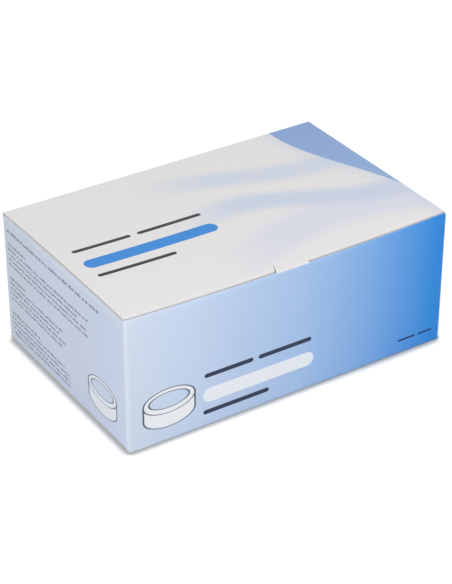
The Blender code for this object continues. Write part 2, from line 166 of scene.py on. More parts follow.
def board_sheet(name, outer, facing, blank, near, looks, thickness=BOARD):
    """A closed sheet on a grid of outside points, rows running up and columns to the right as seen
    from outside. The inside is outer - thickness times facing, and a strip round the outline is the
    raw edge. Attribute blank holds the place on the flat blank and the depth, 0 outside and 1
    inside; attribute near holds the distance to the nearest crease or cut. The looks are outside,
    inside and edge."""
    rows, columns = outer.shape[:2]
    behind = rows * columns
    inner = outer - np.asarray(thickness)[..., None] * np.broadcast_to(facing, outer.shape)
    index = np.arange(behind).reshape(rows, columns)
    face = quads(index[:, :-1], index[:, 1:])
    loop = np.concatenate([index[0, :-1], index[:-1, -1], index[-1, :0:-1], index[:0:-1, 0]])
    after = np.roll(loop, -1)
    edge = np.stack([after, loop, loop + behind, after + behind], -1)
    flat = np.broadcast_to(blank, (rows, columns, 2)).reshape(-1, 2)
    made = new_piece(
        name,
        np.concatenate([outer.reshape(-1, 3), inner.reshape(-1, 3)]),
        np.concatenate([face, face[:, ::-1] + behind, edge]).tolist(),
        looks,
        blank=np.concatenate([np.tile(flat, (2, 1)), np.repeat([0.0, 1.0], behind)[:, None]], 1),
        near=np.tile(np.broadcast_to(near, (rows, columns)).ravel(), 2),
    )
    kind = np.repeat(np.arange(3), [len(face), len(face), len(edge)])
    made.data.polygons.foreach_set("material_index", kind.astype(np.int32))
    made.data.update()
    return made


def stands_for(piece, slot, *nodes):
    """A piece hides the CAD nodes that it stands for. Its slot is not used."""
    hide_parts(*nodes)


def on_body(piece, body, slot, *nodes):
    """A piece rides on a body and stands for CAD nodes."""
    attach(piece, body)
    stands_for(piece, slot, *nodes)


class Wire:
    """A value in a shader tree. A sign between wires, or a wire and a number, adds a Math node."""

    def __init__(self, socket):
        self.socket = socket

    def __add__(self, other):
        return calc("ADD", self, other)

    def __sub__(self, other):
        return calc("SUBTRACT", self, other)

    def __rsub__(self, other):
        return calc("SUBTRACT", other, self)

    def __mul__(self, other):
        return calc("MULTIPLY", self, other)

    def __truediv__(self, other):
        return calc("DIVIDE", self, other)

    def __abs__(self):
        return calc("ABSOLUTE", self)

    def __gt__(self, other):
        return calc("GREATER_THAN", self, other)

    def __lt__(self, other):
        return calc("LESS_THAN", self, other)


def tree_of(*inputs):
    """The shader tree of the first wire among some inputs."""
    return next(given.socket.id_data for given in inputs if isinstance(given, Wire))


def put(socket, given):
    """A socket gets a link if it is given a wire, and a value otherwise."""
    if isinstance(given, Wire):
        socket.id_data.links.new(given.socket, socket)
    else:
        socket.default_value = given


def add(tree, kind, *inputs, **settings):
    """One node: its own settings, then its inputs in order."""
    made = tree.nodes.new(kind)
    for name, value in settings.items():
        setattr(made, name, value)
    for socket, given in zip(made.inputs, inputs):
        put(socket, given)
    return made


def calc(operation, *inputs):
    """One sum of a Math node."""
    return Wire(add(tree_of(*inputs), "ShaderNodeMath", *inputs, operation=operation).outputs[0])


def between(value, low, high, at_low, at_high, kind="LINEAR"):
    """A value's way from low to high, turned into the way from at_low to at_high and held there."""
    sizes = value, low, high, at_low, at_high
    made = add(tree_of(value), "ShaderNodeMapRange", *sizes, interpolation_type=kind)
    return Wire(made.outputs[0])


def noise(place, scale, detail=2.0):
    """Cloudy noise, 0 to 1 about 0.5, with scale features to the metre."""
    made = add(tree_of(place), "ShaderNodeTexNoise", place)
    made.inputs["Scale"].default_value = scale
    made.inputs["Detail"].default_value = detail
    return Wire(made.outputs[0])


def spot(*parts):
    """Two or three values as one place."""
    return Wire(add(tree_of(*parts), "ShaderNodeCombineXYZ", *parts).outputs[0])


def parts_of(place):
    """The three values of a place."""
    return [Wire(socket) for socket in add(tree_of(place), "ShaderNodeSeparateXYZ", place).outputs]


def over(share, under, upper):
    """Colour upper laid over colour under: under + share times (upper - under)."""
    made = add(tree_of(share), "ShaderNodeMix", share, data_type="RGBA")
    put(made.inputs[6], under)
    put(made.inputs[7], upper)
    return Wire(made.outputs[2])


def shaded(colour, tone):
    """A colour multiplied by one value."""
    made = add(tree_of(colour, tone), "ShaderNodeVectorMath", colour, operation="SCALE")
    put(made.inputs["Scale"], tone)
    return Wire(made.outputs[0])


def ramp(value, low, high, *stops):
    """Colours along value as it runs from low to high; each stop is a share and a printed
    colour."""
    made = add(tree_of(value), "ShaderNodeValToRGB", between(value, low, high, 0.0, 1.0))
    spots = made.color_ramp.elements
    for share, *ink in stops[1:-1]:
        spots.new(share).color = srgb(*ink)
    for place, (share, *ink) in ((0, stops[0]), (len(spots) - 1, stops[-1])):
        spots[place].position, spots[place].color = share, srgb(*ink)
    return Wire(made.outputs[0])


def node_group(**outputs):
    """Turns a recipe into a shader node group of its name: its arguments become the float inputs,
    and the wires that it returns the outputs, named here with their kinds."""

    def build(recipe):
        made = bpy.data.node_groups.new(recipe.__name__, "ShaderNodeTree")
        names = recipe.__code__.co_varnames[: recipe.__code__.co_argcount]
        sockets = [(name, "INPUT", "Float") for name in names]
        for name, way, kind in sockets + [(name, "OUTPUT", kind) for name, kind in outputs.items()]:
            title = name.replace("_", " ").title()
            made.interface.new_socket(name=title, in_out=way, socket_type="NodeSocket" + kind)
        given = made.nodes.new("NodeGroupInput").outputs
        results = recipe(*[Wire(given[place]) for place in range(len(names))])
        for socket, wire in zip(made.nodes.new("NodeGroupOutput").inputs, results):
            put(socket, wire)
        return made

    return build


def placed(made, *inputs):
    """A node group put into a material, with its inputs in order: its output, or a list of them."""
    node = add(tree_of(*inputs), "ShaderNodeGroup", *inputs, node_tree=made)
    wires = [Wire(socket) for socket in node.outputs]
    return wires if len(wires) > 1 else wires[0]


@node_group(tone="Float", height="Float", gloss="Float")
def coated_board(u, v):
    """Satin-coated board: the tone is near 1, clouded by slow noise and banded by the flutes
    beneath, cos of 2 pi v / FLUTE, as print density and as painted shade of their washboard; the
    height adds the flutes' washboard to a paper grain; the gloss varies a little."""
    drift = noise(spot(u, v), 38.0, 3.0)
    streak = noise(spot(u * 0.06, v), 520.0) - 0.5
    grain = noise(spot(u, v), 2600.0) - 0.5
    shown = between(drift, 0.42, 0.66, 0.3, 1.0)
    flute = calc("COSINE", v * (2 * np.pi / FLUTE) + drift * 0.9) * shown
    tone = drift * 0.030 + 0.983 + flute * 0.008 + streak * 0.036 + grain * 0.03
    return tone, flute * 0.5 + grain * 0.35, drift * 0.16 + 0.34


@node_group(mask="Float")
def fold_wear(u, v, near, reach, amount):
    """Ink stretched thin along creases and cuts, and a painted highlight on their rounded folds: 1
    up to reach from the fold, falling to 0 over a further half millimetre, broken up a little by
    noise, times amount."""
    rub = between(noise(spot(u, v), 420.0, 4.0), 0.32, 0.68, 0.55, 1.0)
    return (between(near - reach, 0.0, WEAR_FADE, 1.0, 0.0) * rub * amount,)


def inked(away):
    """1 inside an outline and 0 outside it, from the distance outside, with a soft edge of
    INK_EDGE."""
    return between(away, -INK_EDGE, INK_EDGE, 1.0, 0.0)


@node_group(mask="Float")
def rounded_bar(u, v, middle_u, middle_v, half_length, half_height, radius):
    """A bar with rounded ends: the distance outside a box of the half sizes less radius, less
    radius again, turned into a mask that is 1 inside."""
    reach = abs(u - middle_u) - (half_length - radius), abs(v - middle_v) - (half_height - radius)
    corner = [calc("POWER", calc("MAXIMUM", value, 0.0), 2.0) for value in reach]
    inside = calc("MINIMUM", calc("MAXIMUM", *reach), 0.0)
    return (inked(calc("SQRT", corner[0] + corner[1]) + inside - radius),)


@node_group(line="Float", inside="Float")
def oval_ring(u, v, middle_u, middle_v, half_u, half_v, half_line):
    """An oval line: |r - 1| times the smaller half axis, with r the length of (u / half_u, v /
    half_v), is within half_line for the line; r is below 1 for the inside."""
    across, up = (u - middle_u) / half_u, (v - middle_v) / half_v
    away = (calc("SQRT", across * across + up * up) - 1.0) * calc("MINIMUM", half_u, half_v)
    return inked(abs(away) - half_line), inked(away)


@node_group(colour="Color")
def blue_fade(u):
    """The print's blue along the carton: palest on the left fold, deepening to the right. The first
    stops, lighter still over the left crease, are a painted highlight.
    """
    stops = (
        # The first two stops, over the left crease, are a painted highlight on the fold.
        (0.000, 209, 221, 241),
        (0.007, 208, 221, 241),
        (0.010, 205, 218, 236),
        (0.040, 204, 217, 236),
        (0.170, 197, 213, 238),
        (0.330, 184, 204, 234),
        (0.500, 168, 196, 233),
        (0.590, 154, 188, 232),
        (0.670, 141, 180, 229),
        (0.750, 123, 171, 228),
        (0.830, 99, 158, 226),
        (0.920, 66, 145, 222),
        (0.960, 42, 137, 219),
        (1.000, 32, 131, 215),
    )
    return (ramp(u, -HALF_X, HALF_X, *stops),)


BOARD_WHITE = srgb(238, 238, 237)
INK_DARK = srgb(43, 52, 78)
INK_WHITE = srgb(234, 238, 245)


def new_look(name):
    """A new material with its nodes on."""
    made = bpy.data.materials.new(name)
    made.use_nodes = True
    return made


def held_by(look, name, output="Vector"):
    """What a piece's own attribute holds."""
    return Wire(add(look.node_tree, "ShaderNodeAttribute", attribute_name=name).outputs[output])


def on_blank(look):
    """The place on the flat blank, and the depth, as three wires."""
    return parts_of(held_by(look, "blank"))


def finished(look, colour, height, bump, roughness, specular, sheen=0.0, gloss=None):
    """A material's Principled shader: its colour, a height bumped to a distance, and plain values,
    with a wire in place of the roughness where the gloss varies."""
    shader = look.node_tree.nodes["Principled BSDF"].inputs
    relief = add(look.node_tree, "ShaderNodeBump")
    relief.inputs["Distance"].default_value = bump
    put(relief.inputs["Height"], height)
    put(shader["Normal"], Wire(relief.outputs[0]))
    put(shader["Base Color"], colour)
    put(shader["Roughness"], roughness)
    put(shader["Specular IOR Level"], specular)
    put(shader["Sheen Weight"], sheen)
    if gloss:
        put(shader["Roughness"], gloss)
    return look


def plain_board(name):
    """The uncoated inside: grey-white pulp with dark flecks and the flutes showing through."""
    look = new_look(name)
    u, v, _ = on_blank(look)
    tone, height, _ = placed(coated_board, u, v)
    fleck = between(noise(spot(u, v), 900.0, 5.0), 0.60, 0.72, 0.0, 0.5)
    pulp = over(fleck, srgb(219, 215, 207), srgb(158, 148, 134))
    return finished(look, shaded(pulp, tone), height, bump=0.00008, roughness=0.85, specular=0.2)


def raw_edge(name, pale, dull, torn, hollow):
    """A cut edge: two pale liners at depths 0 and 1, the flute between them as a line at
    0.5 + 0.26 sin(2 pi length / FLUTE), and shade in the hollows; warmer where the cut tore."""
    look = new_look(name)
    u, v, depth = on_blank(look)
    wave = calc("SINE", (u + v) * (2 * np.pi / FLUTE)) * 0.26 + 0.5
    flute = between(abs(depth - wave), 0.10, 0.17, 1.0, 0.0)
    liner = between(abs(depth - 0.5), 0.26, 0.33, 0.0, 1.0)
    solid = calc("MAXIMUM", flute, liner)
    fuzz = noise(spot(u, v, depth), 1400.0)
    rip = between(noise(spot(u, v), 30.0), 0.45, 0.62, 0.0, 0.6)
    pulp = over(rip, over(fuzz, srgb(*pale), srgb(*dull)), srgb(*torn))
    colour = over(solid, srgb(*hollow), pulp)
    return finished(look, colour, solid, bump=0.00012, roughness=0.9, specular=0.15)


BOARD_INSIDE = plain_board("board_inside")
BOARD_EDGE = raw_edge(
    "board_edge",
    pale=(231, 230, 228),
    dull=(210, 208, 205),
    torn=(214, 203, 186),
    hollow=(184, 181, 178),
)
# The front's top edge: greyer and darker than the other cut edges, for its crushed board and as
# painted shade in the groove under the lid.
CRUSHED_EDGE = raw_edge(
    "crushed_shaded_edge",
    pale=(206, 208, 210),
    dull=(182, 185, 189),
    torn=(190, 184, 174),
    hollow=(150, 152, 156),
)


def printed_board(name, paint, wear, edge=BOARD_EDGE):
    """The looks of printed board, outside, inside and edge. Outside, paint(u, v) lays the inks, the
    coated board's tone multiplies them, and the creases and cuts go towards white, as worn ink and
    as a painted highlight on the folds."""
    look = new_look(name)
    u, v, _ = on_blank(look)
    tone, height, gloss = placed(coated_board, u, v)
    # Creases and cuts go towards white: worn ink, and a painted highlight on the rounded folds.
    rubbed = placed(fold_wear, u, v, held_by(look, "near", "Fac"), WEAR_REACH, wear)
    colour = over(rubbed, shaded(paint(u, v), tone), BOARD_WHITE)
    finish = {"bump": 0.00003, "roughness": 0.4, "specular": 0.2, "gloss": gloss}
    return finished(look, colour, height, **finish), BOARD_INSIDE, edge


def bars(u, v, colour, ink, *places):
    """Plain rounded bars laid over a colour, each given as left, right, low and high in
    millimetres."""
    for left, right, low, high in places:
        half = (high - low) / 2000
        sizes = (left + right) / 2000, (low + high) / 2000, (right - left) / 2000, half, half
        colour = over(placed(rounded_bar, u, v, *sizes), colour, ink)
    return colour


def oval_sign(u, v, colour, middle, size, ink, fill):
    """A plain band drawn as a ring seen from above: an oval swept down for its wall, by lifting
    each place below the middle back up to it, with a smaller oval open at the top and thin lines
    along the edges."""
    deep = size * 0.56
    below = between(middle[1] - v, 0.0, deep, 0.0, deep)
    oval = *middle, size, size * 0.48
    mouth = middle[0], middle[1] + size * 0.03, size * 0.78, size * 0.31
    wall_line, wall_inside = placed(oval_ring, u, v + below, *oval, SIGN_OUTLINE)
    rim_line, _ = placed(oval_ring, u, v, *oval, SIGN_LINE)
    mouth_line, mouth_inside = placed(oval_ring, u, v, *mouth, SIGN_LINE)
    colour = over(wall_inside - mouth_inside, colour, fill)
    return over(calc("MAXIMUM", wall_line, calc("MAXIMUM", rim_line, mouth_line)), colour, ink)


def front_inks(u, v):
    """The front: the blue fade, a little lighter upwards as painted shade darkening the foot, a
    plain ring at the left and plain bars."""
    # The scale from 0.985 at the foot to 1.055 at the top is painted shade.
    colour = shaded(placed(blue_fade, u), between(v, 0.0, TOP, 0.985, 1.055))
    inks = srgb(70, 80, 100), srgb(236, 239, 243)
    colour = oval_sign(u, v, colour, (-0.0905, 0.0300), 0.0185, *inks)
    dark = (-65, -29, 36.4, 39.6), (-25, 15, 36.4, 39.6), (-66, -17, 9.2, 12.4)
    colour = bars(u, v, colour, INK_DARK, *dark)
    colour = bars(u, v, colour, INK_WHITE, (-66, 17, 17.8, 28.2))
    return bars(u, v, colour, srgb(22, 58, 116), (85, 99, 9.7, 11.3), (101.5, 113, 9.7, 11.3))


def long_wall(top):
    """The front or back wall in plan, from corner to corner, raised to the height top gives at each
    length: outside points, normals, places on the blank and distances to the nearest fold or
    cut."""
    slits = (-TAB_SLIT - HAIR, -TAB_SLIT, TAB_SLIT, TAB_SLIT + HAIR)
    flat = np.unique(np.concatenate([np.linspace(-HALF_X + FOLD, HALF_X - FOLD, 73), slits]))
    corner, turned = crease((HALF_X - FOLD, -HALF_Y + FOLD), 360, 270)
    plan = joined(
        straight((-HALF_X, -END_REACH), (-HALF_X, -HALF_Y + FOLD), 2),
        crease((-HALF_X + FOLD, -HALF_Y + FOLD), 180, 270),
        (np.stack([flat, np.full_like(flat, -HALF_Y)], 1), np.tile((0.0, -1.0), (len(flat), 1))),
        (corner[::-1], turned[::-1]),
        ending((HALF_X, -END_REACH), (1.0, 0.0)),
    )
    x, y, out_x, out_y, along = (column.T for column in plan)
    along = along - along[0, -1] / 2
    height = WALL_FOOT + (top(along) - WALL_FOOT) * eased(34)[:, None]
    near = np.minimum(np.abs(HALF_X - np.abs(along)), FRONT_TOP - height + EDGE_NEAR)
    return grid(x, y, height), grid(out_x, out_y, 0.0 * height), grid(along, height), near


def front_edge(along):
    """The front's top edge, cut down to the lock tab's crease between its slits."""
    return np.where(np.abs(along) <= TAB_SLIT, TAB_SEAT, FRONT_TOP)


outer, facing, blank, near = long_wall(front_edge)
crush = FRONT_CRUSH * np.clip(1 - (FRONT_TOP - outer[..., 2]) / LIP, 0, 1) ** 2
settle = hump(outer[..., 0] / FRONT_SPAN) * np.clip(outer[..., 2] / FRONT_FULL, 0, 1) ** 2
outer -= crush[..., None] * facing
outer[..., 1] -= FRONT_BOW * settle
outer[..., 2] -= FRONT_SAG * settle
front_looks = printed_board("printed_front", front_inks, wear=0.2, edge=CRUSHED_EDGE)
front_wall = board_sheet("front_wall", outer, facing, blank, near, front_looks, BOARD - crush)
on_body(front_wall, "carton", "printed_front", "front_panel")

# Back wall: the same board, turned round, and the wall that the lid is creased from. The print's
# fade goes on over it, with a pale wave and blocks of small print.

BACK_TOP = 0.0943
BACK_BOW = 0.0008
BACK_MIDDLE = 0.05
HALF_TURN = np.array((-1.0, -1.0, 1.0))


@node_group(mask="Float")
def wave_band(u, v, middle, rise, length, phase, half_width, soft):
    """A soft band along a wave: the distance of v from middle + rise times sin(2 pi u / length +
    phase), less half_width, falls from 1 to 0 over soft."""
    crest = calc("SINE", u * (2 * np.pi) / length + phase) * rise + middle
    return (between(abs(v - crest) - half_width, 0.0, soft, 1.0, 0.0, "SMOOTHSTEP"),)


@node_group(mask="Float")
def small_print(u, v, left, right, top, bottom, pitch, word, seed):
    """Rows of small print as plain strokes: a row is floor((top - v) / pitch), a word is a cell of
    u filled to a random share of its length and sometimes split, and strokes 0.16 pitch apart stand
    on the row's foot line, some of them taller."""

    def luck(*parts):
        made = add(tree_of(u), "ShaderNodeTexWhiteNoise", spot(*parts), noise_dimensions="3D")
        return Wire(made.outputs["Value"])

    def within(value, low, high):
        return (value > low) * (value < high)

    down = (top - v) / pitch
    row = calc("FLOOR", down) + seed
    chance = luck(row, 0.5, 0.5)
    start = u - left
    along = start / word + chance * 5.0
    cell, part = calc("FLOOR", along), calc("FRACT", along)
    split = (luck(cell, row, 3.5) > 0.5) * within(part, 0.40, 0.49)
    filled = (part < luck(cell, row, 1.5) * 0.14 + 0.80) - split
    step = start / (pitch * 0.16)
    tall = luck(calc("FLOOR", step), row, 2.5) > 0.64
    stroke = within(calc("FRACT", down), tall * -0.20 + 0.44, 0.76) * (calc("FRACT", step) < 0.66)
    block = within(u, left, right - chance * word * 2.2) * within(v, bottom, top)
    return (filled * stroke * block,)


def print_blocks(u, v, colour, ink, *places):
    """Blocks of small print laid over a colour, each as left, right, top, bottom, pitch, word and
    seed, in millimetres but for the seed."""
    for *sizes, seed in places:
        sizes = [size / 1000 for size in sizes]
        colour = over(placed(small_print, u, v, *sizes, float(seed)), colour, ink)
    return colour


def back_inks(u, v):
    """The back: the fade by its place along the carton, a pale wave, bars and two blocks of small
    print."""
    wave = placed(wave_band, u, v, 0.030, 0.014, 0.260, 0.6, 0.010, 0.012)
    colour = over(wave * 0.45, placed(blue_fade, u), INK_WHITE)
    right = u * -1.0
    colour = bars(right, v, colour, INK_WHITE, (-104, -30, 70, 80))
    colour = bars(right, v, colour, INK_DARK, (-104, -70, 60, 63.2), (-66, -30, 60, 63.2))
    blocks = (8, 104, 82, 50, 3.2, 8.0, 3), (8, 104, 44, 18.4, 3.2, 7.0, 31)
    return print_blocks(right, v, colour, srgb(56, 72, 110), *blocks)


outer, facing, blank, near = long_wall(lambda along: np.full_like(along, BACK_TOP))
belly = hump(outer[..., 0] / FRONT_SPAN) * hump(outer[..., 2] / BACK_MIDDLE - 1.0)
outer[..., 1] -= BACK_BOW * belly
back_looks = printed_board("printed_back", back_inks, wear=0.2)
back_wall = board_sheet(
    "back_wall", outer * HALF_TURN, facing * HALF_TURN, blank * (-1.0, 1.0), near, back_looks
)
on_body(back_wall, "carton", "printed_back", "back_panel")

# End walls: set between the long walls' rounded corners, and bellied out a little by what the
# carton holds. Both are worked out on the left, and the right one is turned round.

END_FOOT = 0.0042
END_TOP = 0.0925
END_BOW = 0.0007
CREASE_NEAR = 0.0016
STILL = np.ones(3)


def left_inks(u, v):
    """The left end: pale blue, greyer to the back, with blocks of small print and a plain ring."""
    stops = (0.0, 193, 203, 219), (0.45, 199, 209, 228), (0.85, 199, 210, 233), (1.0, 203, 214, 236)
    heads = (
        (-72, 52, 88.6, 84.2, 4.4, 8.5, 5),
        (-72, -38, 78.8, 75.0, 3.8, 5.0, 11),
        (-72, -44, 53.2, 49.4, 3.8, 5.0, 23),
        (-72, -30, 26.6, 22.8, 3.8, 6.0, 29),
    )
    blocks = (
        (-72, 34, 75.0, 59.8, 3.8, 9.0, 41),
        (-72, 10, 49.4, 34.2, 3.8, 9.0, 57),
        (-72, 16, 22.8, 7.6, 3.8, 9.0, 73),
    )
    colour = print_blocks(u, v, ramp(u, -HALF_Y, HALF_Y, *stops), srgb(48, 58, 86), *heads)
    colour = print_blocks(u, v, colour, srgb(74, 86, 116), *blocks)
    inks = srgb(96, 106, 130), srgb(226, 231, 239)
    return oval_sign(u, v, colour, (0.0480, 0.0300), 0.0170, *inks)


def right_inks(u, v):
    """The right end: the deep blue of the front's right side, a pale panel with bars, and small
    print."""
    colour = ramp(u, -HALF_Y, HALF_Y, (0.0, 32, 129, 211), (0.5, 50, 138, 216), (1.0, 70, 145, 218))
    panel = 0.034, 0.054, 0.030, 0.024, 0.004
    colour = over(placed(rounded_bar, u, v, *panel), colour, INK_WHITE)
    lines = (10, 40, 66, 69), (10, 30, 58, 60), (10, 34, 53, 55), (10, 26, 48, 50)
    colour = bars(u, v, colour, srgb(58, 128, 208), *lines)
    return print_blocks(u, v, colour, srgb(206, 222, 244), (-68, -6, 82, 43.6, 3.2, 8.0, 91))


y = END_REACH - 2 * END_REACH * eased(46)
share = eased(26)[:, None]
height = END_FOOT + (END_TOP - END_FOOT) * share
outer = grid(-HALF_X - END_BOW * hump(y / END_REACH) * hump(2 * share - 1), y, height)
near = END_REACH - np.abs(y) + CREASE_NEAR
end_looks = {}
for side, inks, wear, spin in (
    ("left", left_inks, 0.3, STILL),
    ("right", right_inks, 0.2, HALF_TURN),
):
    slot = "printed_" + side + "_end"
    end_looks[side] = printed_board(slot, inks, wear)
    places = outer * spin, (-spin[0], 0.0, 0.0), grid(-y, height)
    wall = board_sheet(side + "_end_wall", *places, near, end_looks[side])
    on_body(wall, "carton", slot, side + "_end_panel")

# Glue flap: the end of the blank, turned in behind the right end and glued there, its corners
# cut back so that it doesn't catch when the carton is set up.

GLUE_X = 0.1182
GLUE_ROOT = 0.0762
GLUE_DEPTH = 0.022
GLUE_FOOT = 0.0039
GLUE_TOP = 0.0931
GLUE_TAPER = 0.006
UNWORN = 0.01

y = GLUE_ROOT - GLUE_DEPTH * (1 - eased(12))
cut_back = GLUE_TAPER * (GLUE_ROOT - y) / GLUE_DEPTH
height = GLUE_FOOT + cut_back + (GLUE_TOP - GLUE_FOOT - 2 * cut_back) * eased(20)[:, None]
looks = (BOARD_INSIDE, BOARD_INSIDE, BOARD_EDGE)
outer = grid(GLUE_X, y, height)
glue_flap = board_sheet("glue_flap_board", outer, (1.0, 0.0, 0.0), grid(y, height), UNWORN, looks)
on_body(glue_flap, "carton", "plain_board", "glue_flap")

# Lid: the top panel, creased off the back wall along a rounded fold. Its front edge sinks a little
# in the middle, its left edge stands up, and a notch takes the lock tab.

LID_HALF = 0.1195
LID_LIFT = 0.0012
LID_REAR = 0.0756
LID_FRONT = -0.0736
LID_RUN = 0.145
CUT_NEAR = 0.001
NOTCH_X = (-0.0112, -0.00938, 0.00926, 0.0110)
NOTCH_FLOOR = -0.0699
WAVE_START = (-0.045, 0.020)


def lid_lie(x, y):
    """How far the lid stands off its plane: up by a hump of y times the cube of the way to the
    left, and down by a hump of x times the square of the way to the front."""
    to_left = np.clip(-x / HALF_X, 0, 1) ** 3
    to_front = np.clip((LID_REAR - y) / LID_RUN, 0, 1) ** 2
    return LID_LIFT * hump(y / HALF_Y) * to_left - FRONT_SAG * hump(x / FRONT_SPAN) * to_front


def lid_inks(u, v):
    """The lid: warm white, darker towards the back as painted shade, pale blue waves, a blue field
    along the right of the back, and bars.
    """
    pale = srgb(196, 207, 226)
    lilac = srgb(211, 214, 230)
    field = 0.144, 0.018, 0.260, 2.9, 0.040
    # The white darkens from the front to the back: painted shade.
    stops = (0.0, 229, 227, 228), (0.5, 226, 224, 224), (1.0, 224, 223, 221)
    colour = ramp(v, -HALF_Y, HALF_Y, *stops)
    start = between(u, *WAVE_START, 0.0, 1.0, "SMOOTHSTEP")
    for wave, share, ink in (
        ((-0.050, 0.013, 0.250, 0.2, 0.007, 0.017), 0.75, lilac),
        ((-0.014, 0.018, 0.230, 1.5, 0.004, 0.013), 0.85, pale),
        ((0.036, 0.015, 0.270, 2.5, 0.003, 0.014), 0.70, pale),
    ):
        colour = over(placed(wave_band, u, v, *wave) * start * share, colour, ink)
    colour = over(placed(wave_band, v, u, *field, 0.016) * 0.4, colour, pale)
    deep = ramp(v, -0.05, HALF_Y, (0.0, 146, 176, 217), (1.0, 134, 162, 208))
    colour = over(placed(wave_band, v, u, *field, 0.0005), colour, deep)
    dark = (-108, -66, 5.2, 8.4), (-61, -14, 5.2, 8.4), (-108, -52, -27.4, -24.2)
    colour = bars(u, v, colour, srgb(56, 56, 60), *dark)
    return bars(u, v, colour, srgb(56, 137, 214), (-109, -13, -16.2, -6.0))


lid_looks = printed_board("printed_lid", lid_inks, wear=0.3)
slants = np.linspace(*NOTCH_X[:2], 4), np.linspace(*NOTCH_X[2:], 4)
x = np.unique(np.concatenate([-LID_HALF + 2 * LID_HALF * eased(70), *slants]))
start = np.interp(x, NOTCH_X, (LID_FRONT, NOTCH_FLOOR, NOTCH_FLOOR, LID_FRONT))
y = start + (LID_REAR - start) * eased(48)[:, None]
to_cut = np.minimum(LID_HALF - np.abs(x), y - start)
near = np.minimum(to_cut + CUT_NEAR, LID_REAR - y + CREASE_NEAR)
outer = grid(x, y, TOP + lid_lie(x, y))
lid = board_sheet("lid_board", outer, (0.0, 0.0, 1.0), grid(x, y), near, lid_looks)
on_body(lid, "lid", "printed_lid", "lid_panel")

height, depth, up, out, along = joined(
    straight((TOP, LID_REAR), (TOP, HALF_Y - FOLD), 2),
    crease((TOP - FOLD, HALF_Y - FOLD), 0, 90, 10),
    ending((BACK_TOP, HALF_Y), (0.0, 1.0)),
)
x = LID_HALF - 2 * LID_HALF * eased(60)
lift = lid_lie(x, LID_REAR) * np.linspace(1, 0, len(along))[:, None]
rear_crease = board_sheet(
    "lid_rear_crease",
    grid(x, depth, height + lift)[::-1],
    grid(0.0 * x, out, up)[::-1],
    grid(x, LID_REAR + along)[::-1],
    CREASE_NEAR,
    lid_looks,
)
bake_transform(rear_crease)
stands_for(rear_crease, "printed_lid", "lid_panel")

# Tuck flap: the lid's front edge turned down behind the front wall, its corners rounded so that
# it slides in. The crease runs to either side of the lock tab's notch.

TUCK_FRONT = -0.0756
TUCK_TOP = 0.0943
TUCK_DEPTH = 0.018
TUCK_HALF = 0.113
TUCK_WIDEN = 2.2
TUCK_CORNER = 0.011
TUCK_LEAN = np.radians(8.5)
TUCK_BEND = np.array((0.0, -0.0736, 0.0928))
TUCK_BEND_WAY = 0.0009 * np.array((0.017, -0.5, -0.866))
NOTCH_MOUTH = (-0.0124, 0.0122)

height, depth, up, out, along = joined(
    straight((TUCK_TOP, TUCK_FRONT), (TOP - FOLD, TUCK_FRONT), 2),
    crease((TOP - FOLD, TUCK_FRONT + FOLD), -90, 0, 10),
    ending((TOP, LID_FRONT), (1.0, 0.0)),
)
rise = along / along[-1]
wide = TUCK_HALF + (LID_HALF - TUCK_HALF) * np.clip(rise * TUCK_WIDEN, 0, 1)
for name, side, mouth, notch in (
    ("tuck_crease_left", -1, -NOTCH_MOUTH[0], -NOTCH_X[0]),
    ("tuck_crease_right", 1, NOTCH_MOUTH[1], NOTCH_X[3]),
):
    narrow = mouth + (notch - mouth) * rise
    share = eased(36) if side > 0 else 1 - eased(36)
    x = side * (narrow + (wide - narrow) * share)
    strip = board_sheet(
        name,
        grid(x, depth, height + lid_lie(x, LID_FRONT)),
        grid(0.0 * x, out, up),
        grid(x, LID_FRONT - along[-1] + along),
        CREASE_NEAR,
        lid_looks,
    )
    TUCK_BEND + TUCK_BEND_WAY * (side, 1, 1)
    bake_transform(strip)
    stands_for(strip, "printed_lid", "lid_panel", "tuck_flap")

drop = TUCK_DEPTH * (1 - eased(28))[:, None]
past = np.clip((drop - (TUCK_DEPTH - TUCK_CORNER)) / TUCK_CORNER, 0, 1)
half = TUCK_HALF - TUCK_CORNER * (1 - np.sqrt(1 - past**2))
x = half * (2 * eased(60) - 1)
height = TUCK_TOP - drop * np.cos(TUCK_LEAN) + lid_lie(x, LID_FRONT)
tuck = board_sheet(
    "tuck_board",
    grid(x, TUCK_FRONT + drop * np.sin(TUCK_LEAN), height),
    (0.0, -np.cos(TUCK_LEAN), -np.sin(TUCK_LEAN)),
    grid(x, LID_FRONT - along[-1] - drop),
    np.minimum(half - np.abs(x), TUCK_DEPTH - drop) + CUT_NEAR,
    lid_looks,
)
on_body(tuck, "tuck", "printed_lid", "tuck_flap")

# Lock tab: a tongue of the front wall, slit free at both sides and turned over the top edge into
# the lid's notch. Its crease keeps the front's blue and its top is white.

TAB_HALF = 0.0125
TAB_TIP_HALF = 0.00925
TAB_TIP = -0.0695
TAB_CORNER = 0.0004
TAB_ROUND = 0.0012
TAB_SLOPE = (TAB_HALF - TAB_TIP_HALF) / (TAB_TIP + HALF_Y)
TAB_WHITE = (0.0958, 0.0966)


def tab_inks(u, v):
    """The tab: the front's blue, a little lighter as a painted highlight on its crease, up to the
    fold, and the lid's warm white from there.
    """
    white = between(v, *TAB_WHITE, 0.0, 1.0)
    # The factor 1.05 lightens the crease's blue: a painted highlight.
    return over(white, shaded(placed(blue_fade, u), 1.05), srgb(229, 227, 228))


def settled(x, y, height):
    """Points of the tab, which sinks and bows with the front's edge."""
    settle = hump(x / FRONT_SPAN)
    return grid(x, y - FRONT_BOW * settle, height - FRONT_SAG * settle)


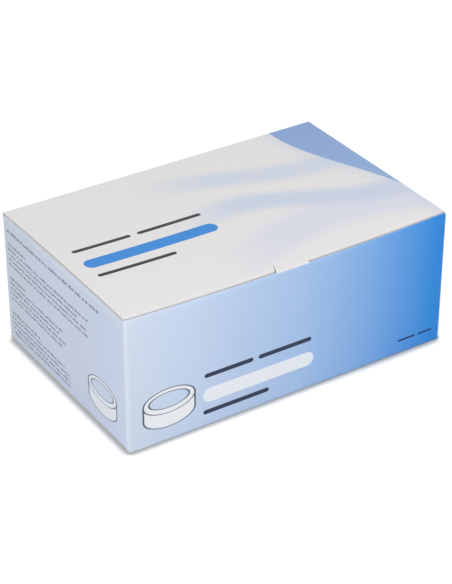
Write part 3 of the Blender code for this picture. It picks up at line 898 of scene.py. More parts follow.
tab_looks = printed_board("printed_lock_tab", tab_inks, wear=0.3)
height, depth, up, out, along = joined(
    straight((TAB_SEAT, -HALF_Y), (TOP - FOLD, -HALF_Y), 2),
    crease((TOP - FOLD, -HALF_Y + FOLD), -90, 0, 10),
    ending((TOP, -END_REACH), (1.0, 0.0)),
)
x = (TAB_HALF - TAB_SLOPE * (depth + HALF_Y)) * (2 * eased(14) - 1)
tab_crease = board_sheet(
    "lock_tab_crease",
    settled(x, depth, height),
    grid(0.0 * x, out, up),
    grid(x, TAB_SEAT + along),
    UNWORN,
    tab_looks,
)
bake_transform(tab_crease)
stands_for(tab_crease, "printed_lid", "lock_tab")

y = -END_REACH + (TAB_TIP + END_REACH) * eased(12)[:, None]
tip_round = TAB_CORNER * np.clip((y - TAB_TIP) / TAB_ROUND + 1, 0, 1) ** 2
half = TAB_HALF - TAB_SLOPE * (y + HALF_Y) - tip_round
x = half * (2 * eased(16) - 1)
tab = board_sheet(
    "lock_tab_board",
    settled(x, y, TOP),
    (0.0, 0.0, 1.0),
    grid(x, TAB_SEAT + along[-1] + y + END_REACH),
    np.minimum(half - np.abs(x), TAB_TIP - y) + CUT_NEAR,
    tab_looks,
)
on_body(tab, "lock", "printed_lid", "lock_tab")

# Dust flaps: creased off the tops of the end walls and folded in under the lid, tapered and with
# round corners so that they swing past it. The end's print runs over the crease and stops.

DUST_ROOT = -0.1176
DUST_TOP = 0.0952
DUST_TIP = -0.060
DUST_HALF = 0.0734
DUST_SLACK = 0.0001
DUST_FULL = END_REACH - DUST_SLACK
DUST_CUT = 0.0014
DUST_CUT_X = (-HALF_X + DUST_CUT, DUST_ROOT)
DUST_SHOULDER = -0.1146
DUST_STEP = 0.001
DUST_ANGLE = np.radians(22.0)
DUST_CORNER = 0.008
DUST_INK_END = (0.1015, 0.1018)
DUST_BEND = np.array(((-0.1199, 0.0, 0.0929), (-0.11956, 0.0, 0.09414)))


def dust_half(x):
    """Half the flap's width at each depth: full to the shoulder, then a step and a straight taper,
    and a round corner to the tip, yc + sqrt(R^2 - (x - xc)^2)."""
    taper = np.tan(DUST_ANGLE)
    side = DUST_HALF - np.where(x > DUST_SHOULDER, DUST_STEP + (x - DUST_SHOULDER) * taper, 0.0)
    centre_x = DUST_TIP - DUST_CORNER
    at_centre = DUST_HALF - DUST_STEP - (centre_x - DUST_SHOULDER) * taper
    centre_y = at_centre - DUST_CORNER / np.cos(DUST_ANGLE)
    corner = centre_y + np.sqrt(np.clip(DUST_CORNER**2 - (x - centre_x) ** 2, 0, None))
    return np.where(x > centre_x + DUST_CORNER * np.sin(DUST_ANGLE), corner, side)


def flap_inks(ink):
    """A flap's outside: the end wall's ink for a few millimetres past the crease, then white."""
    return lambda u, v: over(between(v, *DUST_INK_END, 0.0, 1.0), ink, srgb(231, 230, 227))


height, depth, up, out, along = joined(
    straight((END_TOP, -HALF_X), (DUST_TOP - FOLD, -HALF_X), 2),
    crease((DUST_TOP - FOLD, -HALF_X + FOLD), -90, 0, 10),
    ending((DUST_TOP, DUST_ROOT), (1.0, 0.0)),
)
shoulder = (DUST_SHOULDER, DUST_SHOULDER + 2 * HAIR)
x = np.unique(np.concatenate([DUST_ROOT + (DUST_TIP - DUST_ROOT) * eased(44), shoulder]))[:, None]
half = dust_half(x)
crease_y = np.interp(depth, DUST_CUT_X, (DUST_FULL, DUST_HALF)) * (1 - 2 * eased(46))
flap_y = half * (1 - 2 * eased(46))
for side, ink, spin in (
    ("left", srgb(196, 206, 226), STILL),
    ("right", srgb(50, 138, 216), HALF_TURN),
):
    raised = along / along[-1] * lid_lie(spin[0] * DUST_ROOT, spin[1] * crease_y)
    strip = board_sheet(
        side + "_dust_crease",
        grid(depth, crease_y, height + raised) * spin,
        grid(out, 0.0 * crease_y, up) * spin,
        grid(-crease_y, END_TOP + along),
        CREASE_NEAR,
        end_looks[side],
    )
    start, end = (DUST_BEND * spin).tolist()
    side + "_dust"
    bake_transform(strip)
    stands_for(strip, "printed_" + side + "_end", side + "_dust_flap")

    flap = board_sheet(
        side + "_dust_board",
        grid(x, flap_y, DUST_TOP + lid_lie(spin[0] * x, spin[1] * flap_y)) * spin,
        (0.0, 0.0, 1.0),
        grid(-flap_y, END_TOP + along[-1] + x - DUST_ROOT),
        np.minimum(half - np.abs(flap_y), DUST_TIP - x) + CUT_NEAR,
        printed_board("printed_" + side + "_dust_flap", flap_inks(ink), wear=0.3),
    )
    on_body(flap, side + "_dust", "printed_flaps", side + "_dust_flap")

# Crash-lock base: the front and back flaps hook into each other along the middle of the underside.
# The end flaps, over which the ends' ink runs on, lie on them inside.

BASE_HALF = 0.1165
BASE_FLARE = 0.0028
BASE_FLARE_RUN = 0.010
BASE_NEAR = 0.004
BASE_INK_END = (0.0015, 0.0060)
HOOK_STEP = 0.011
HOOK_SLANT = 0.014
BASE_GAP = 0.0003
BASE_END_Z = 0.0018
BASE_END_HALF = 0.0754
BASE_END_TIP = -0.046
BASE_END_TAPER = 0.016


def base_inks(u, v):
    """The underside: the long wall's fade over the crease, then white board with a few bars."""
    past = between(v, *BASE_INK_END, 0.0, 1.0, "SMOOTHSTEP")
    colour = over(past, placed(blue_fade, u), srgb(228, 229, 231))
    return bars(u, v, colour, srgb(150, 178, 218), (-88, -62, 30, 32.4), (-88, -70, 24, 26))


base_looks = printed_board("printed_base", base_inks, wear=0.4)
height, depth, up, out, along = joined(
    straight((0.0, 0.0), (0.0, -HALF_Y + FOLD), 24),
    crease((FOLD, -HALF_Y + FOLD), 180, 270),
    ending((WALL_FOOT, -HALF_Y), (0.0, -1.0)),
)
x = np.unique(np.concatenate([-BASE_HALF + 2 * BASE_HALF * eased(50), [-HOOK_SLANT, HOOK_SLANT]]))
tip = np.interp(x, (-HOOK_SLANT, HOOK_SLANT), (HOOK_STEP, -HOOK_STEP)) - BASE_GAP
share = np.clip(depth / (FOLD - HALF_Y), 0, 1)
y = np.where(share < 1, tip + (FOLD - HALF_Y - tip) * share, depth)
flare = np.clip((depth + HALF_Y - BASE_FLARE_RUN) / -BASE_FLARE_RUN, 0, 1)
outer = grid(x * (1 + BASE_FLARE / BASE_HALF * flare), y, height)
for side, spin in (("front", STILL), ("back", HALF_TURN)):
    flap = board_sheet(
        "base_" + side + "_board",
        outer * spin,
        grid(0.0 * x, out, up) * spin,
        grid(x * spin[0], along[-1] - along),
        BASE_NEAR,
        base_looks,
    )
    on_body(flap, "carton", "printed_flaps", "bottom_" + side + "_flap")

height, depth, up, out, along = joined(
    straight((BASE_END_Z, BASE_END_TIP), (BASE_END_Z, -HALF_X + FOLD), 24),
    crease((BASE_END_Z + FOLD, -HALF_X + FOLD), 180, 270),
    ending((END_FOOT, -HALF_X), (0.0, -1.0)),
)
inward = (depth + HALF_X - FOLD) / (BASE_END_TIP + HALF_X - FOLD)
y = (BASE_END_HALF - BASE_END_TAPER * np.clip(inward, 0, 1)) * (1 - 2 * eased(40))
for side, spin in (("left", STILL), ("right", HALF_TURN)):
    flap = board_sheet(
        "base_" + side + "_board",
        grid(depth, y, height) * spin,
        grid(out, 0.0 * y, up) * spin,
        grid(-y, END_FOOT - along[-1] + along),
        BASE_NEAR,
        end_looks[side],
    )
    on_body(flap, "carton", "plain_board", "bottom_" + side + "_flap")

# Collar shell: a band of moulded polyethylene bent into an oval and fastened on itself at the nape,
# dipped under the chin and arched over the shoulders. One end narrows to a tongue inside the other.

OVAL_X = -0.008
OVAL_A = 0.0915
OVAL_B = 0.059
OVAL_MEAN = 0.075
SHELL = 0.0016
LOW_RIM, LOW_ARCH = 0.0106, 0.010
HIGH_RIM, CHIN_DIP = 0.0832, 0.011
CHIN_WIDTH = np.radians(38.0)
RIM_GRIP = 0.0008
BODY_START = np.radians(35.0)
BODY_END = np.radians(378.0)
TONGUE_ROOT = np.radians(25.0)
TONGUE_TIP = np.radians(-19.0)
TONGUE_OFFSET = -0.0049
TONGUE_INSET = 0.009
TONGUE_CORNER = 0.009
RIB_PLACES, RIB_WIDTH = (0.34, 0.66), 0.035
RIB_HEIGHT, RIB_FADE = 0.0007, 0.35


def on_oval(angle, offset):
    """Places beside the collar's oval in plan and the normals there: the ellipse's point plus
    offset times its normal, (B cos, A sin) over their length."""
    across = np.hypot(OVAL_B * np.cos(angle), OVAL_A * np.sin(angle))
    out_x = OVAL_B * np.cos(angle) / across
    out_y = OVAL_A * np.sin(angle) / across
    x = OVAL_X + OVAL_A * np.cos(angle) + offset * out_x
    return x, OVAL_B * np.sin(angle) + offset * out_y, out_x, out_y


def bell(away, width):
    """exp of -(away / width) squared."""
    return np.exp(-((away / width) ** 2))


def rim_heights(angle):
    """Heights of the lower and upper rims' middles: the lower arched by sin squared over the
    shoulders, the upper dipped by a bell curve under the chin."""
    dip = CHIN_DIP * bell(angle - np.pi, CHIN_WIDTH)
    return LOW_RIM + LOW_ARCH * np.sin(angle) ** 2, HIGH_RIM - dip


def smooth(share):
    """3 s^2 - 2 s^3 of a share held from 0 to 1."""
    share = np.clip(share, 0, 1)
    return share * share * (3 - 2 * share)


def on_tongue(angle):
    """How far the band has become its tongue: 0 on the body, 1 from the tongue's root on."""
    return smooth((BODY_START - angle) / (BODY_START - TONGUE_ROOT))


def shell_edges(angle):
    """The band's lower and upper edges: inside the rims, drawn in along the tongue, with a round
    tip."""
    low, high = rim_heights(angle)
    inset = (TONGUE_INSET + RIM_GRIP) * on_tongue(angle) - RIM_GRIP
    reach = np.clip(1 - (angle - TONGUE_TIP) * OVAL_B / TONGUE_CORNER, 0, 1)
    inset = inset + TONGUE_CORNER * (1 - np.sqrt(1 - reach**2))
    return low + inset, high - inset


def bent_sheet(name, angle, offset, height, looks, thickness, mean=OVAL_MEAN):
    """A sheet bent round the oval, offset from it outwards, with rows of heights. The blank is as
    long as the angle times the mean radius."""
    x, y, out_x, out_y = on_oval(angle, offset)
    places = grid(x, y, height), grid(out_x, out_y, 0.0 * height), grid(angle * mean, height)
    return board_sheet(name, *places, UNWORN, looks, thickness)


def in_object(look):
    """The place in the object's own frame."""
    return Wire(add(look.node_tree, "ShaderNodeTexCoord").outputs["Object"])


def moulded_plastic(name):
    """Moulded polyethylene: milky white, faintly clouded, with an orange-peel skin."""
    look = new_look(name)
    place = in_object(look)
    peel = noise(place, 750.0)
    milk = over(noise(place, 45.0, 3.0), srgb(240, 240, 236), srgb(226, 228, 226))
    gloss = between(peel, 0.3, 0.7, 0.36, 0.50)
    return finished(look, milk, peel, bump=0.00012, roughness=0.42, specular=0.4, gloss=gloss)


tongue = TONGUE_TIP + (TONGUE_ROOT - TONGUE_TIP) * eased(30)[:-1]
angle = np.concatenate([tongue, np.linspace(TONGUE_ROOT, BODY_END, 230)])
low, high = shell_edges(angle)
share = eased(34)[:, None]
height = low + (high - low) * share
body = smooth((angle - BODY_START) / RIB_FADE) * smooth((BODY_END - angle) / RIB_FADE)
rib = sum(bell(share - place, RIB_WIDTH) for place in RIB_PLACES)
offset = TONGUE_OFFSET * on_tongue(angle) + SHELL / 2 + RIB_HEIGHT * body * rib
looks = [moulded_plastic("moulded_shell")] * 3
shell = bent_sheet("collar_shell_band", angle, offset, height, looks, SHELL)
on_body(shell, "carton", "moulded_shell", "collar_shell")

# Liner: a foam pad faced with brushed fabric, glued inside the shell from one side of the fastening
# round to the other, and quilted by upright channels so that it follows the neck.

LINER_START = np.radians(38.5)
LINER_END = np.radians(337.5)
LINER_TAPER = 0.15
LINER_OFFSET = -0.0014
LINER_CROWN = 0.0068
LINER_EDGE = 0.0040
LINER_ROOM = 0.0082
LINER_CELL = 0.0032
LINER_SWELL = 0.0025
GLUE_REACH = 0.0012
CHANNELS = np.radians(np.arange(52.0, 330.0, 27.0))
CHANNEL_DEPTH = 0.0024
CHANNEL_WIDTH = 0.0017
CHANNEL_START = 0.002
CHANNEL_RUN = 0.003
CHANNEL_END = 0.35
CHANNEL_END_RUN = 0.008
SWELL_PRESSURE = 4.0
SWELL_FRAMES = 20


@node_group(tone="Float", height="Float")
def fibre_cloth(u, v, w):
    """Brushed or knitted cloth: the tone is clouded noise near 1, the height fine fibres over finer
    ones."""
    place = spot(u, v, w)
    nap = noise(place, 1500.0, 3.0)
    tone = noise(place, 60.0, 3.0) * 0.10 + 0.84 + nap * 0.16
    return tone, nap * 0.7 + noise(place, 4200.0) * 0.3


def brushed_fabric(name):
    """Brushed fabric on foam: beige, soft and matt, with a slight sheen at grazing angles."""
    look = new_look(name)
    place = in_object(look)
    tone, height = placed(fibre_cloth, *parts_of(place))
    beige = over(noise(place, 90.0), srgb(228, 219, 203), srgb(214, 203, 186))
    colour = shaded(beige, tone)
    return finished(look, colour, height, bump=0.0004, roughness=0.95, specular=0.1, sheen=0.25)


def off_oval(places):
    """Where points lie round and off the oval: the angle, and f over the length of f's slope with
    f = (x / A)^2 + (y / B)^2 - 1."""
    x, y = places[:, 0] - OVAL_X, places[:, 1]
    value = (x / OVAL_A) ** 2 + (y / OVAL_B) ** 2 - 1
    slope = 2 * np.hypot(x / OVAL_A**2, y / OVAL_B**2)
    return np.arctan2(y / OVAL_B, x / OVAL_A) % (2 * np.pi), value / slope


def read_points(mesh):
    """A mesh's points as rows of three."""
    flat = np.empty(len(mesh.vertices) * 3, np.float32)
    mesh.vertices.foreach_get("co", flat)
    return flat.reshape(-1, 3).astype(float)


def worked_in(made):
    """An object with its modifiers worked into it."""
    return made.evaluated_get(bpy.context.evaluated_depsgraph_get())


angle = LINER_START + (LINER_END - LINER_START) * eased(150)
low, high = rim_heights(angle)
low, high = low + LINER_ROOM, high - LINER_ROOM
share = eased(26)[:, None]
height = low + (high - low) * share
ends = smooth((angle - LINER_START) / LINER_TAPER) * smooth((LINER_END - angle) / LINER_TAPER)
crown = LINER_EDGE + (LINER_CROWN - LINER_EDGE) * np.sin(np.pi * share) ** 0.6 * ends
looks = [brushed_fabric("liner_fabric")]
block = bent_sheet("liner_block", angle, LINER_OFFSET, height, looks, crown)
block.data.polygons.foreach_set("material_index", np.zeros(len(block.data.polygons), np.int32))
cells = block.modifiers.new("even_cells", "REMESH")
cells.voxel_size = LINER_CELL
liner = bpy.data.objects.new("collar_liner_pad", bpy.data.meshes.new_from_object(worked_in(block)))
bpy.context.scene.collection.objects.link(liner)
bpy.data.objects.remove(block)
before = read_points(liner.data)
glued = np.flatnonzero(off_oval(before)[1] > LINER_OFFSET - GLUE_REACH)
liner.vertex_groups.new(name="glued").add(glued.tolist(), 1.0, "REPLACE")
swell = liner.modifiers.new("swell", "CLOTH")
swell.settings.use_pressure = True
swell.settings.uniform_pressure_force = SWELL_PRESSURE
swell.settings.vertex_group_mass = "glued"
swell.settings.effector_weights.gravity = 0.0
for step in range(SWELL_FRAMES):
    bpy.context.scene.frame_set(step + 1)
move = read_points(worked_in(liner).data) - before
length = np.linalg.norm(move, axis=1, keepdims=True)
move *= np.minimum(1, LINER_SWELL / np.maximum(length, 1e-9))
liner.modifiers.remove(swell)
bpy.context.scene.frame_set(1)
liner.data.vertices.foreach_set("co", (before + move).astype(np.float32).ravel())
liner.vertex_groups.clear()
halved = liner.modifiers.new("halved", "SUBSURF")
halved.levels = 1
halved.render_levels = 1
finer = bpy.data.meshes.new_from_object(worked_in(liner))
liner.modifiers.remove(halved)
liner.data = finer
places = read_points(finer)
angle, offset = off_oval(places)
arc = np.hypot(OVAL_A * np.sin(angle), OVAL_B * np.cos(angle))
apart = np.abs(angle[:, None] - CHANNELS).min(1) * arc
low, high = rim_heights(angle)
edge = np.minimum(places[:, 2] - low, high - places[:, 2]) - LINER_ROOM
inside = smooth((LINER_OFFSET - CHANNEL_START - offset) / CHANNEL_RUN)
inside *= CHANNEL_END + (1 - CHANNEL_END) * smooth(edge / CHANNEL_END_RUN)
sunk = CHANNEL_DEPTH * bell(apart, CHANNEL_WIDTH) * inside
_, _, out_x, out_y = on_oval(angle, 0.0)
places[:, 0] += sunk * out_x
places[:, 1] += sunk * out_y
finer.vertices.foreach_set("co", places.astype(np.float32).ravel())
finer.polygons.foreach_set("use_smooth", np.ones(len(finer.polygons), bool))
finer.update()
on_body(liner, "carton", "foam_liner", "collar_liner")

# Rims: foam beads covered in knitted fabric, slit along one side, pushed over the shell's upper and
# lower edges and sewn there through both lips, so that the cover dimples at the stitches.

RIM_START = np.radians(40.0)
RIM_END = np.radians(377.5)
RIM_RADIUS = 0.007
RIM_SLACK = 0.0002
RIM_BEVEL = 0.0016
RIM_TURNS = 30
RIM_END_RUN = 0.025
GATHER_FINE = 0.00013
GATHER_SLOW = 0.00010
SLOT_HALF = 0.0011
SLOT_DEPTH = 0.0011
SEAM_TURN = 0.62
SEAM_WIDTH = 0.13
SEAM_DEPTH = 0.00042
KNIT_COLUMN = 0.0013
KNIT_ROW = 0.0016
STITCH_PITCH = 0.0042
STITCH_LENGTH = 0.0030
STITCH_RADIUS = 0.00028
STITCH_DIP = 0.00014
STITCH_MARGIN = 0.03


def knit_cover(name):
    """Knitted cover: ivory, with columns of loops as sin(2 pi around / KNIT_COLUMN) times
    sin(2 pi along / KNIT_ROW), leaning to and fro, on the cloth. The loops' tone rises and falls
    with their height, as painted shade between them."""
    look = new_look(name)
    weave = held_by(look, "weave")
    along, around, _ = parts_of(weave)
    tone, fibre = placed(fibre_cloth, along, around, 0.0)
    column = calc("SINE", around * (2 * np.pi / KNIT_COLUMN))
    loop = column * calc("SINE", (column * 0.00025 + along) * (2 * np.pi / KNIT_ROW))
    ivory = over(noise(weave, 70.0), srgb(234, 231, 224), srgb(222, 218, 209))
    colour = shaded(ivory, loop * 0.045 + tone)
    height = loop * 0.6 + fibre * 0.5
    return finished(look, colour, height, bump=0.0004, roughness=0.9, specular=0.12, sheen=0.2)


def sewing_thread(name):
    """Sewing thread: off-white, with its twist as fine noise."""
    look = new_look(name)
    twist = noise(in_object(look), 5200.0)
    colour = over(twist, srgb(244, 243, 238), srgb(196, 193, 184))
    return finished(look, colour, twist, bump=0.0001, roughness=0.6, specular=0.3)


def bead_radius(angle, turn):
    """The bead's radius: rounded off at both ends, dimpled along the two seams by cos of the stitch
    pitch, and slightly gathered by slow waves."""
    end = np.minimum(angle - RIM_START, RIM_END - angle) * OVAL_MEAN
    ends = RIM_BEVEL * (1 - np.sqrt(1 - np.clip(1 - end / RIM_BEVEL, 0, 1) ** 2))
    dip = SEAM_DEPTH + STITCH_DIP * np.cos(2 * np.pi * angle * OVAL_MEAN / STITCH_PITCH)
    dimple = bell(np.abs(turn - np.pi) - np.pi + SEAM_TURN, SEAM_WIDTH) * dip
    gather = GATHER_FINE * np.sin(61 * angle + 2.0 * np.sin(3 * turn))
    gather = gather + GATHER_SLOW * np.sin(23 * angle + turn)
    return RIM_RADIUS - RIM_SLACK - ends - dimple + gather * np.sin(turn / 2) ** 2


def bead_points(angle, across, up, opening, row):
    """Points of the bead's profile, across and up from the rim's middle, carried round the oval."""
    x, y, _, _ = on_oval(angle, across)
    return grid(x, y, rim_heights(angle)[row] - opening * up)


def turned_out(faces, opening):
    """Faces, turned round where the bead is worked out upside down."""
    return [face[::-1] for face in faces] if opening > 0 else faces


KNIT = knit_cover("rim_knit")
THREAD = sewing_thread("sewing_thread")
MOUTH = np.arcsin(SLOT_HALF / RIM_RADIUS)
for name, node, opening, row in (
    ("upper_rim_bead", "upper_rim_pad", -1, 1),
    ("lower_rim_bead", "lower_rim_pad", 1, 0),
):
    ends = RIM_START + RIM_END_RUN * eased(8), RIM_END - RIM_END_RUN * eased(8)
    angle = np.unique(np.concatenate([np.linspace(RIM_START, RIM_END, 420), *ends]))[:, None]
    turn = np.linspace(MOUTH, 2 * np.pi - MOUTH, RIM_TURNS)
    radius = bead_radius(angle, turn)
    arc = bead_points(angle, -radius * np.sin(turn), -radius * np.cos(turn), opening, row)
    lip = -np.sqrt(radius[:, :1] ** 2 - SLOT_HALF**2)
    wall = np.linspace(0, 1, RIM_TURNS)
    corner = (0.0, 0.44, 0.56, 1.0)
    slot_x = np.interp(wall, corner, (-SLOT_HALF, -SLOT_HALF, SLOT_HALF, SLOT_HALF))
    slot_up = lip + (SLOT_DEPTH - lip) * np.interp(wall, corner, (0.0, 1.0, 1.0, 0.0))
    slot = bead_points(angle, slot_x + 0.0 * angle, slot_up, opening, row)
    ring = np.concatenate([arc, slot[:, -2:0:-1]], 1)
    lines, count = ring.shape[:2]
    index = np.arange(lines * count).reshape(lines, count)
    inner = np.concatenate([[0], np.arange(count - 1, RIM_TURNS - 1, -1), [RIM_TURNS - 1]])
    ends = np.stack([np.arange(RIM_TURNS - 1), inner[:-1], inner[1:], np.arange(1, RIM_TURNS)], -1)
    tips = [ends[0, [0, 2, 3]], ends[-1, [0, 1, 3]]]
    faces = quads(index, np.roll(index, -1, 1)).tolist()
    for caps in (ends[1:-1], tips):
        faces += [cap.tolist() for cap in caps]
        faces += [(cap[::-1] + index[-1, 0]).tolist() for cap in caps]
    around = np.concatenate([turn, turn[-2:0:-1]]) * RIM_RADIUS
    weave = grid(angle * OVAL_MEAN, around, 0.0).reshape(-1, 3)
    faces = turned_out(faces, opening)
    bead = new_piece(name, ring.reshape(-1, 3), faces, [KNIT], 1.0, weave=weave)
    on_body(bead, "carton", "padded_rim", node)

    first, last = RIM_START + STITCH_MARGIN, RIM_END - STITCH_MARGIN
    middle = np.arange(first, last, STITCH_PITCH / OVAL_MEAN)
    spine = np.array((-0.5, -0.3, 0.3, 0.5)) * STITCH_LENGTH / OVAL_MEAN
    lift = np.array((-1.2, 0.55, 0.55, -1.2))[:, None] * STITCH_RADIUS
    girth = np.array((0.05, 1.0, 1.0, 0.05))[:, None] * STITCH_RADIUS
    swing = np.arange(6) * np.pi / 3
    at = (middle[:, None] + spine)[None, :, :, None]
    seam = np.array((SEAM_TURN, 2 * np.pi - SEAM_TURN))[:, None, None, None]
    turn = seam + girth / RIM_RADIUS * np.cos(swing)
    radius = bead_radius(at, seam) + lift + girth * np.sin(swing)
    at = np.broadcast_to(at, radius.shape)
    points = bead_points(at, -radius * np.sin(turn), -radius * np.cos(turn), opening, row)
    cell = np.arange(len(spine) * len(swing)).reshape(len(spine), -1)
    base = np.arange(points.shape[0] * points.shape[1])[:, None] * cell.size
    sides = (base[:, :, None] + quads(cell, np.roll(cell, -1, 1))).reshape(-1, 4)
    caps = np.concatenate([base + cell[0, ::-1], base + cell[-1]])
    faces = turned_out(sides.tolist() + caps.tolist(), opening)
    stitches = new_piece(name + "_stitches", points.reshape(-1, 3), faces, [THREAD])
    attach(stitches, "carton")

# Fastening tape: woven hook and loop strips between the tongue and the end that laps over it, the
# hooks on the outer end and the loops on the tongue.

TAPE = 0.0012
TAPE_START = np.radians(-15.5)
TAPE_END = np.radians(14.5)
TAPE_INSET = 0.006
TAPE_MEAN = 0.06


def woven_tape(name, pitch, size, pale, shade):
    """Woven tape with rows of small knobs, sin(2 pi u / pitch) sin(2 pi v / pitch), and a fibre
    ground. The colour goes from pale on the knobs to darker between them, as painted shade."""
    look = new_look(name)
    u, v, depth = on_blank(look)
    tone, fibre = placed(fibre_cloth, u, v, depth)
    knob = calc("SINE", u * (2 * np.pi / pitch)) * calc("SINE", v * (2 * np.pi / pitch))
    colour = shaded(over(between(knob, -0.4, 0.6, 0.0, 1.0), srgb(*shade), srgb(*pale)), tone)
    return finished(look, colour, knob * size + fibre, bump=0.0004, roughness=0.75, specular=0.2)


angle = np.linspace(TAPE_START, TAPE_END, 40)
low, high = shell_edges(np.full_like(angle, TONGUE_ROOT))
height = low + TAPE_INSET + (high - low - 2 * TAPE_INSET) * np.linspace(0, 1, 30)[:, None]
for side, offset, *weave in (
    ("hook", -0.0017, 0.0011, 1.2, (236, 236, 234), (196, 197, 198)),
    ("loop", -0.0032, 0.0017, 0.5, (238, 238, 236), (214, 214, 213)),
):
    looks = [woven_tape(side + "_side", *weave)] * 3
    tape = bent_sheet(side + "_tape", angle, offset + TAPE / 2, height, looks, TAPE, TAPE_MEAN)
    on_body(tape, "carton", side + "_tape", side + "_strip")

# Leaflet: the instruction sheet, folded in three like a letter and stood on edge against the right
# end, where its loose leaf springs open a little.

LEAF = 0.0003
LEAF_PITCH = 0.0009
LEAF_WALL = 0.1181
LEAF_LOW = -0.058
LEAF_HIGH = 0.042
LEAF_FOOT = 0.0036
LEAF_HEIGHT = 0.074
LEAF_SPRING = 0.0055
LEAF_FOOT_SHARE = 0.35
LEAF_CURL = 0.0012
LEAF_COLUMNS = (8, 108, 210)


def printed_paper(name, seeds, heads):
    """Thin offset paper: white with a faint grain, a block of small grey print in each column, and
    a bar as the head of the first few."""
    look = new_look(name)
    u, v, depth = on_blank(look)
    grain = noise(spot(u, v, depth), 1800.0, 3.0)
    white = over(noise(spot(u, v), 50.0), srgb(244, 243, 240), srgb(235, 235, 233))
    blocks = [(left, left + 84, 68, 6, 2.5, 6.0, seed) for left, seed in zip(LEAF_COLUMNS, seeds)]
    white = print_blocks(u, v, white, srgb(104, 108, 120), *blocks)
    lines = [(left, left + 46, 69.6, 71.4) for left in LEAF_COLUMNS[:heads]]
    white = bars(u, v, white, srgb(92, 128, 184), *lines)
    colour = shaded(white, between(grain, 0.3, 0.7, 0.96, 1.0))
    return finished(look, colour, grain, bump=0.00005, roughness=0.8, specular=0.2)


first, second, third = LEAF_WALL - LEAF_PITCH * np.arange(3)
folded = joined(
    straight((first, LEAF_LOW), (first, LEAF_HIGH), 30),
    crease(((first + second) / 2, LEAF_HIGH), 0, 180, 8, LEAF_PITCH / 2),
    straight((second, LEAF_HIGH), (second, LEAF_LOW), 30),
    crease(((second + third) / 2, LEAF_LOW), 360, 180, 8, LEAF_PITCH / 2, -1.0),
    straight((third, LEAF_LOW), (third, LEAF_HIGH), 40),
    ending((third, LEAF_HIGH), (1.0, 0.0)),
)
x, y, out_x, out_y, along = (column.T for column in folded)
share = np.linspace(0, 1, 24)[:, None]
loose = np.clip((along - along[0, -1]) / (LEAF_HIGH - LEAF_LOW) + 1, 0, 1) ** 1.6
sprung = LEAF_FOOT_SHARE + (1 - LEAF_FOOT_SHARE) * share**1.5
spring = LEAF_SPRING * sprung + LEAF_CURL * np.sin(np.pi * share)
front_paper = printed_paper("leaflet_front", (7, 131, 211), 3)
back_paper = printed_paper("leaflet_back", (67, 191, 271), 1)
leaflet = board_sheet(
    "folded_leaflet",
    grid(x - loose * spring, y, LEAF_FOOT + LEAF_HEIGHT * share),
    grid(out_x, out_y, 0.0 * share),
    grid(along, LEAF_HEIGHT * share),
    UNWORN,
    [front_paper, back_paper, front_paper],
    LEAF,
)
on_body(leaflet, "carton", "leaflet_paper", "leaflet")

# Stage: a white floor that keeps the contact shadow and adds a painted one from ambient occlusion
# near the carton, even light from all round with a soft lamp above the left front and a weak one
# at the right, and the camera where the photograph was taken from.

FLOOR_HALF = 4
FLOOR_DROP = 0.0002
FLOOR_PAPER = (0.87, 0.86, 0.845)
FLOOR_GLOW = 0.42
SHADOW_REACH = 0.006
SHADOW_RANGE = (0.50, 0.97)
SHADOW_TONE = 0.44
SKY_LIGHT = 0.70
WHITE = (1.0, 1.0, 1.0, 1.0)
AZIMUTH = np.radians(-32.9)
ELEVATION = np.radians(31.69)
DISTANCE = 1.2657
MOVED_RIGHT = 0.0010
MOVED_DOWN = 0.01015
FOCAL_PIXELS = 1932.0
PHOTO_HEIGHT = 584
SENSOR = 36.0

corners = [(x * FLOOR_HALF, y * FLOOR_HALF, 0) for x, y in ((-1, -1), (1, -1), (1, 1), (-1, 1))]
floor_mesh = bpy.data.meshes.new("floor")
floor_mesh.from_pydata(corners, [], [(0, 1, 2, 3)])
floor = bpy.data.objects.new("floor", floor_mesh)
floor.location.z = -FLOOR_DROP
bpy.context.scene.collection.objects.link(floor)
floor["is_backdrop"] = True


def seen_rays(tree):
    """1 for what the camera sees straight, in gloss or through glass, and 0 for the light
    itself."""
    ray = add(tree, "ShaderNodeLightPath").outputs
    kinds = "Is Camera Ray", "Is Glossy Ray", "Is Transmission Ray"
    camera, gloss, glass = (Wire(ray[kind]) for kind in kinds)
    return calc("MAXIMUM", calc("MAXIMUM", camera, gloss), glass)


floor_look = new_look("floor_white")
tree = floor_look.node_tree
tree.nodes.clear()
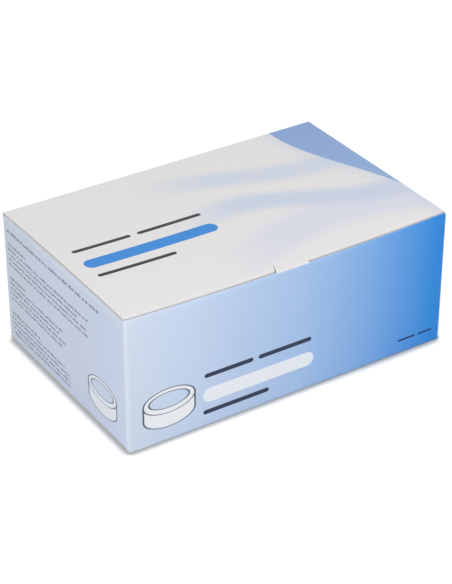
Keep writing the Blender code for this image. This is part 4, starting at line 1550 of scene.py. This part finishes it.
# Ambient occlusion darkens the floor's colour and glow near the carton: a painted contact shadow.
closed_in = add(tree, "ShaderNodeAmbientOcclusion", samples=16)
closed_in.inputs["Distance"].default_value = SHADOW_REACH
seen = seen_rays(tree)
clear = calc("MAXIMUM", Wire(closed_in.outputs["AO"]), 1.0 - seen)
open_air = between(clear, *SHADOW_RANGE, SHADOW_TONE, 1.0)
paper = add(tree, "ShaderNodeBsdfDiffuse", shaded(FLOOR_PAPER, open_air))
glow = add(tree, "ShaderNodeEmission", WHITE, seen * open_air * FLOOR_GLOW)
both = add(tree, "ShaderNodeAddShader", Wire(paper.outputs[0]), Wire(glow.outputs[0]))
add(tree, "ShaderNodeOutputMaterial", Wire(both.outputs[0]))
floor_mesh.materials.append(floor_look)

world = bpy.data.worlds.new("studio")
bpy.context.scene.world = world
world.use_nodes = True
tree = world.node_tree
tree.nodes.clear()
strength = between(seen_rays(tree), 0.0, 1.0, SKY_LIGHT, 1.0)
sky = add(tree, "ShaderNodeBackground", WHITE, strength)
add(tree, "ShaderNodeOutputWorld", Wire(sky.outputs[0]))

for name, place, size, power in (
    ("soft_left", (-0.85, -0.9, 1.45), 1.2, 11.5),
    ("soft_right", (1.2, -0.5, 1.0), 1.0, 2.5),
):
    lamp = bpy.data.lights.new(name, "AREA")
    lamp.size = size
    lamp.energy = power
    stand = bpy.data.objects.new(name, lamp)
    stand.location = place
    aim = -np.array(place) / np.linalg.norm(place)
    stand.rotation_euler = (np.arccos(-aim[2]), 0.0, np.arctan2(aim[1], aim[0]) - np.pi / 2)
    bpy.context.scene.collection.objects.link(stand)

level = np.array((np.sin(AZIMUTH), -np.cos(AZIMUTH), 0.0))
back = level * np.cos(ELEVATION) + np.array((0.0, 0.0, np.sin(ELEVATION)))
right = np.array((np.cos(AZIMUTH), np.sin(AZIMUTH), 0.0))
view = bpy.data.cameras.new("photograph")
view.sensor_width = SENSOR
view.lens = FOCAL_PIXELS / PHOTO_HEIGHT * SENSOR
camera = bpy.data.objects.new("photograph", view)
aside = MOVED_RIGHT * right - MOVED_DOWN * np.cross(back, right)
camera.location = (0.0, 0.0, TOP / 2) + back * DISTANCE + aside
camera.rotation_euler = (np.pi / 2 - ELEVATION, 0.0, AZIMUTH)
bpy.context.scene.collection.objects.link(camera)
bpy.context.scene.camera = camera
bpy.context.scene.view_settings.view_transform = "Standard"

sizes = {"cad": cad_box, "visual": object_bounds()}
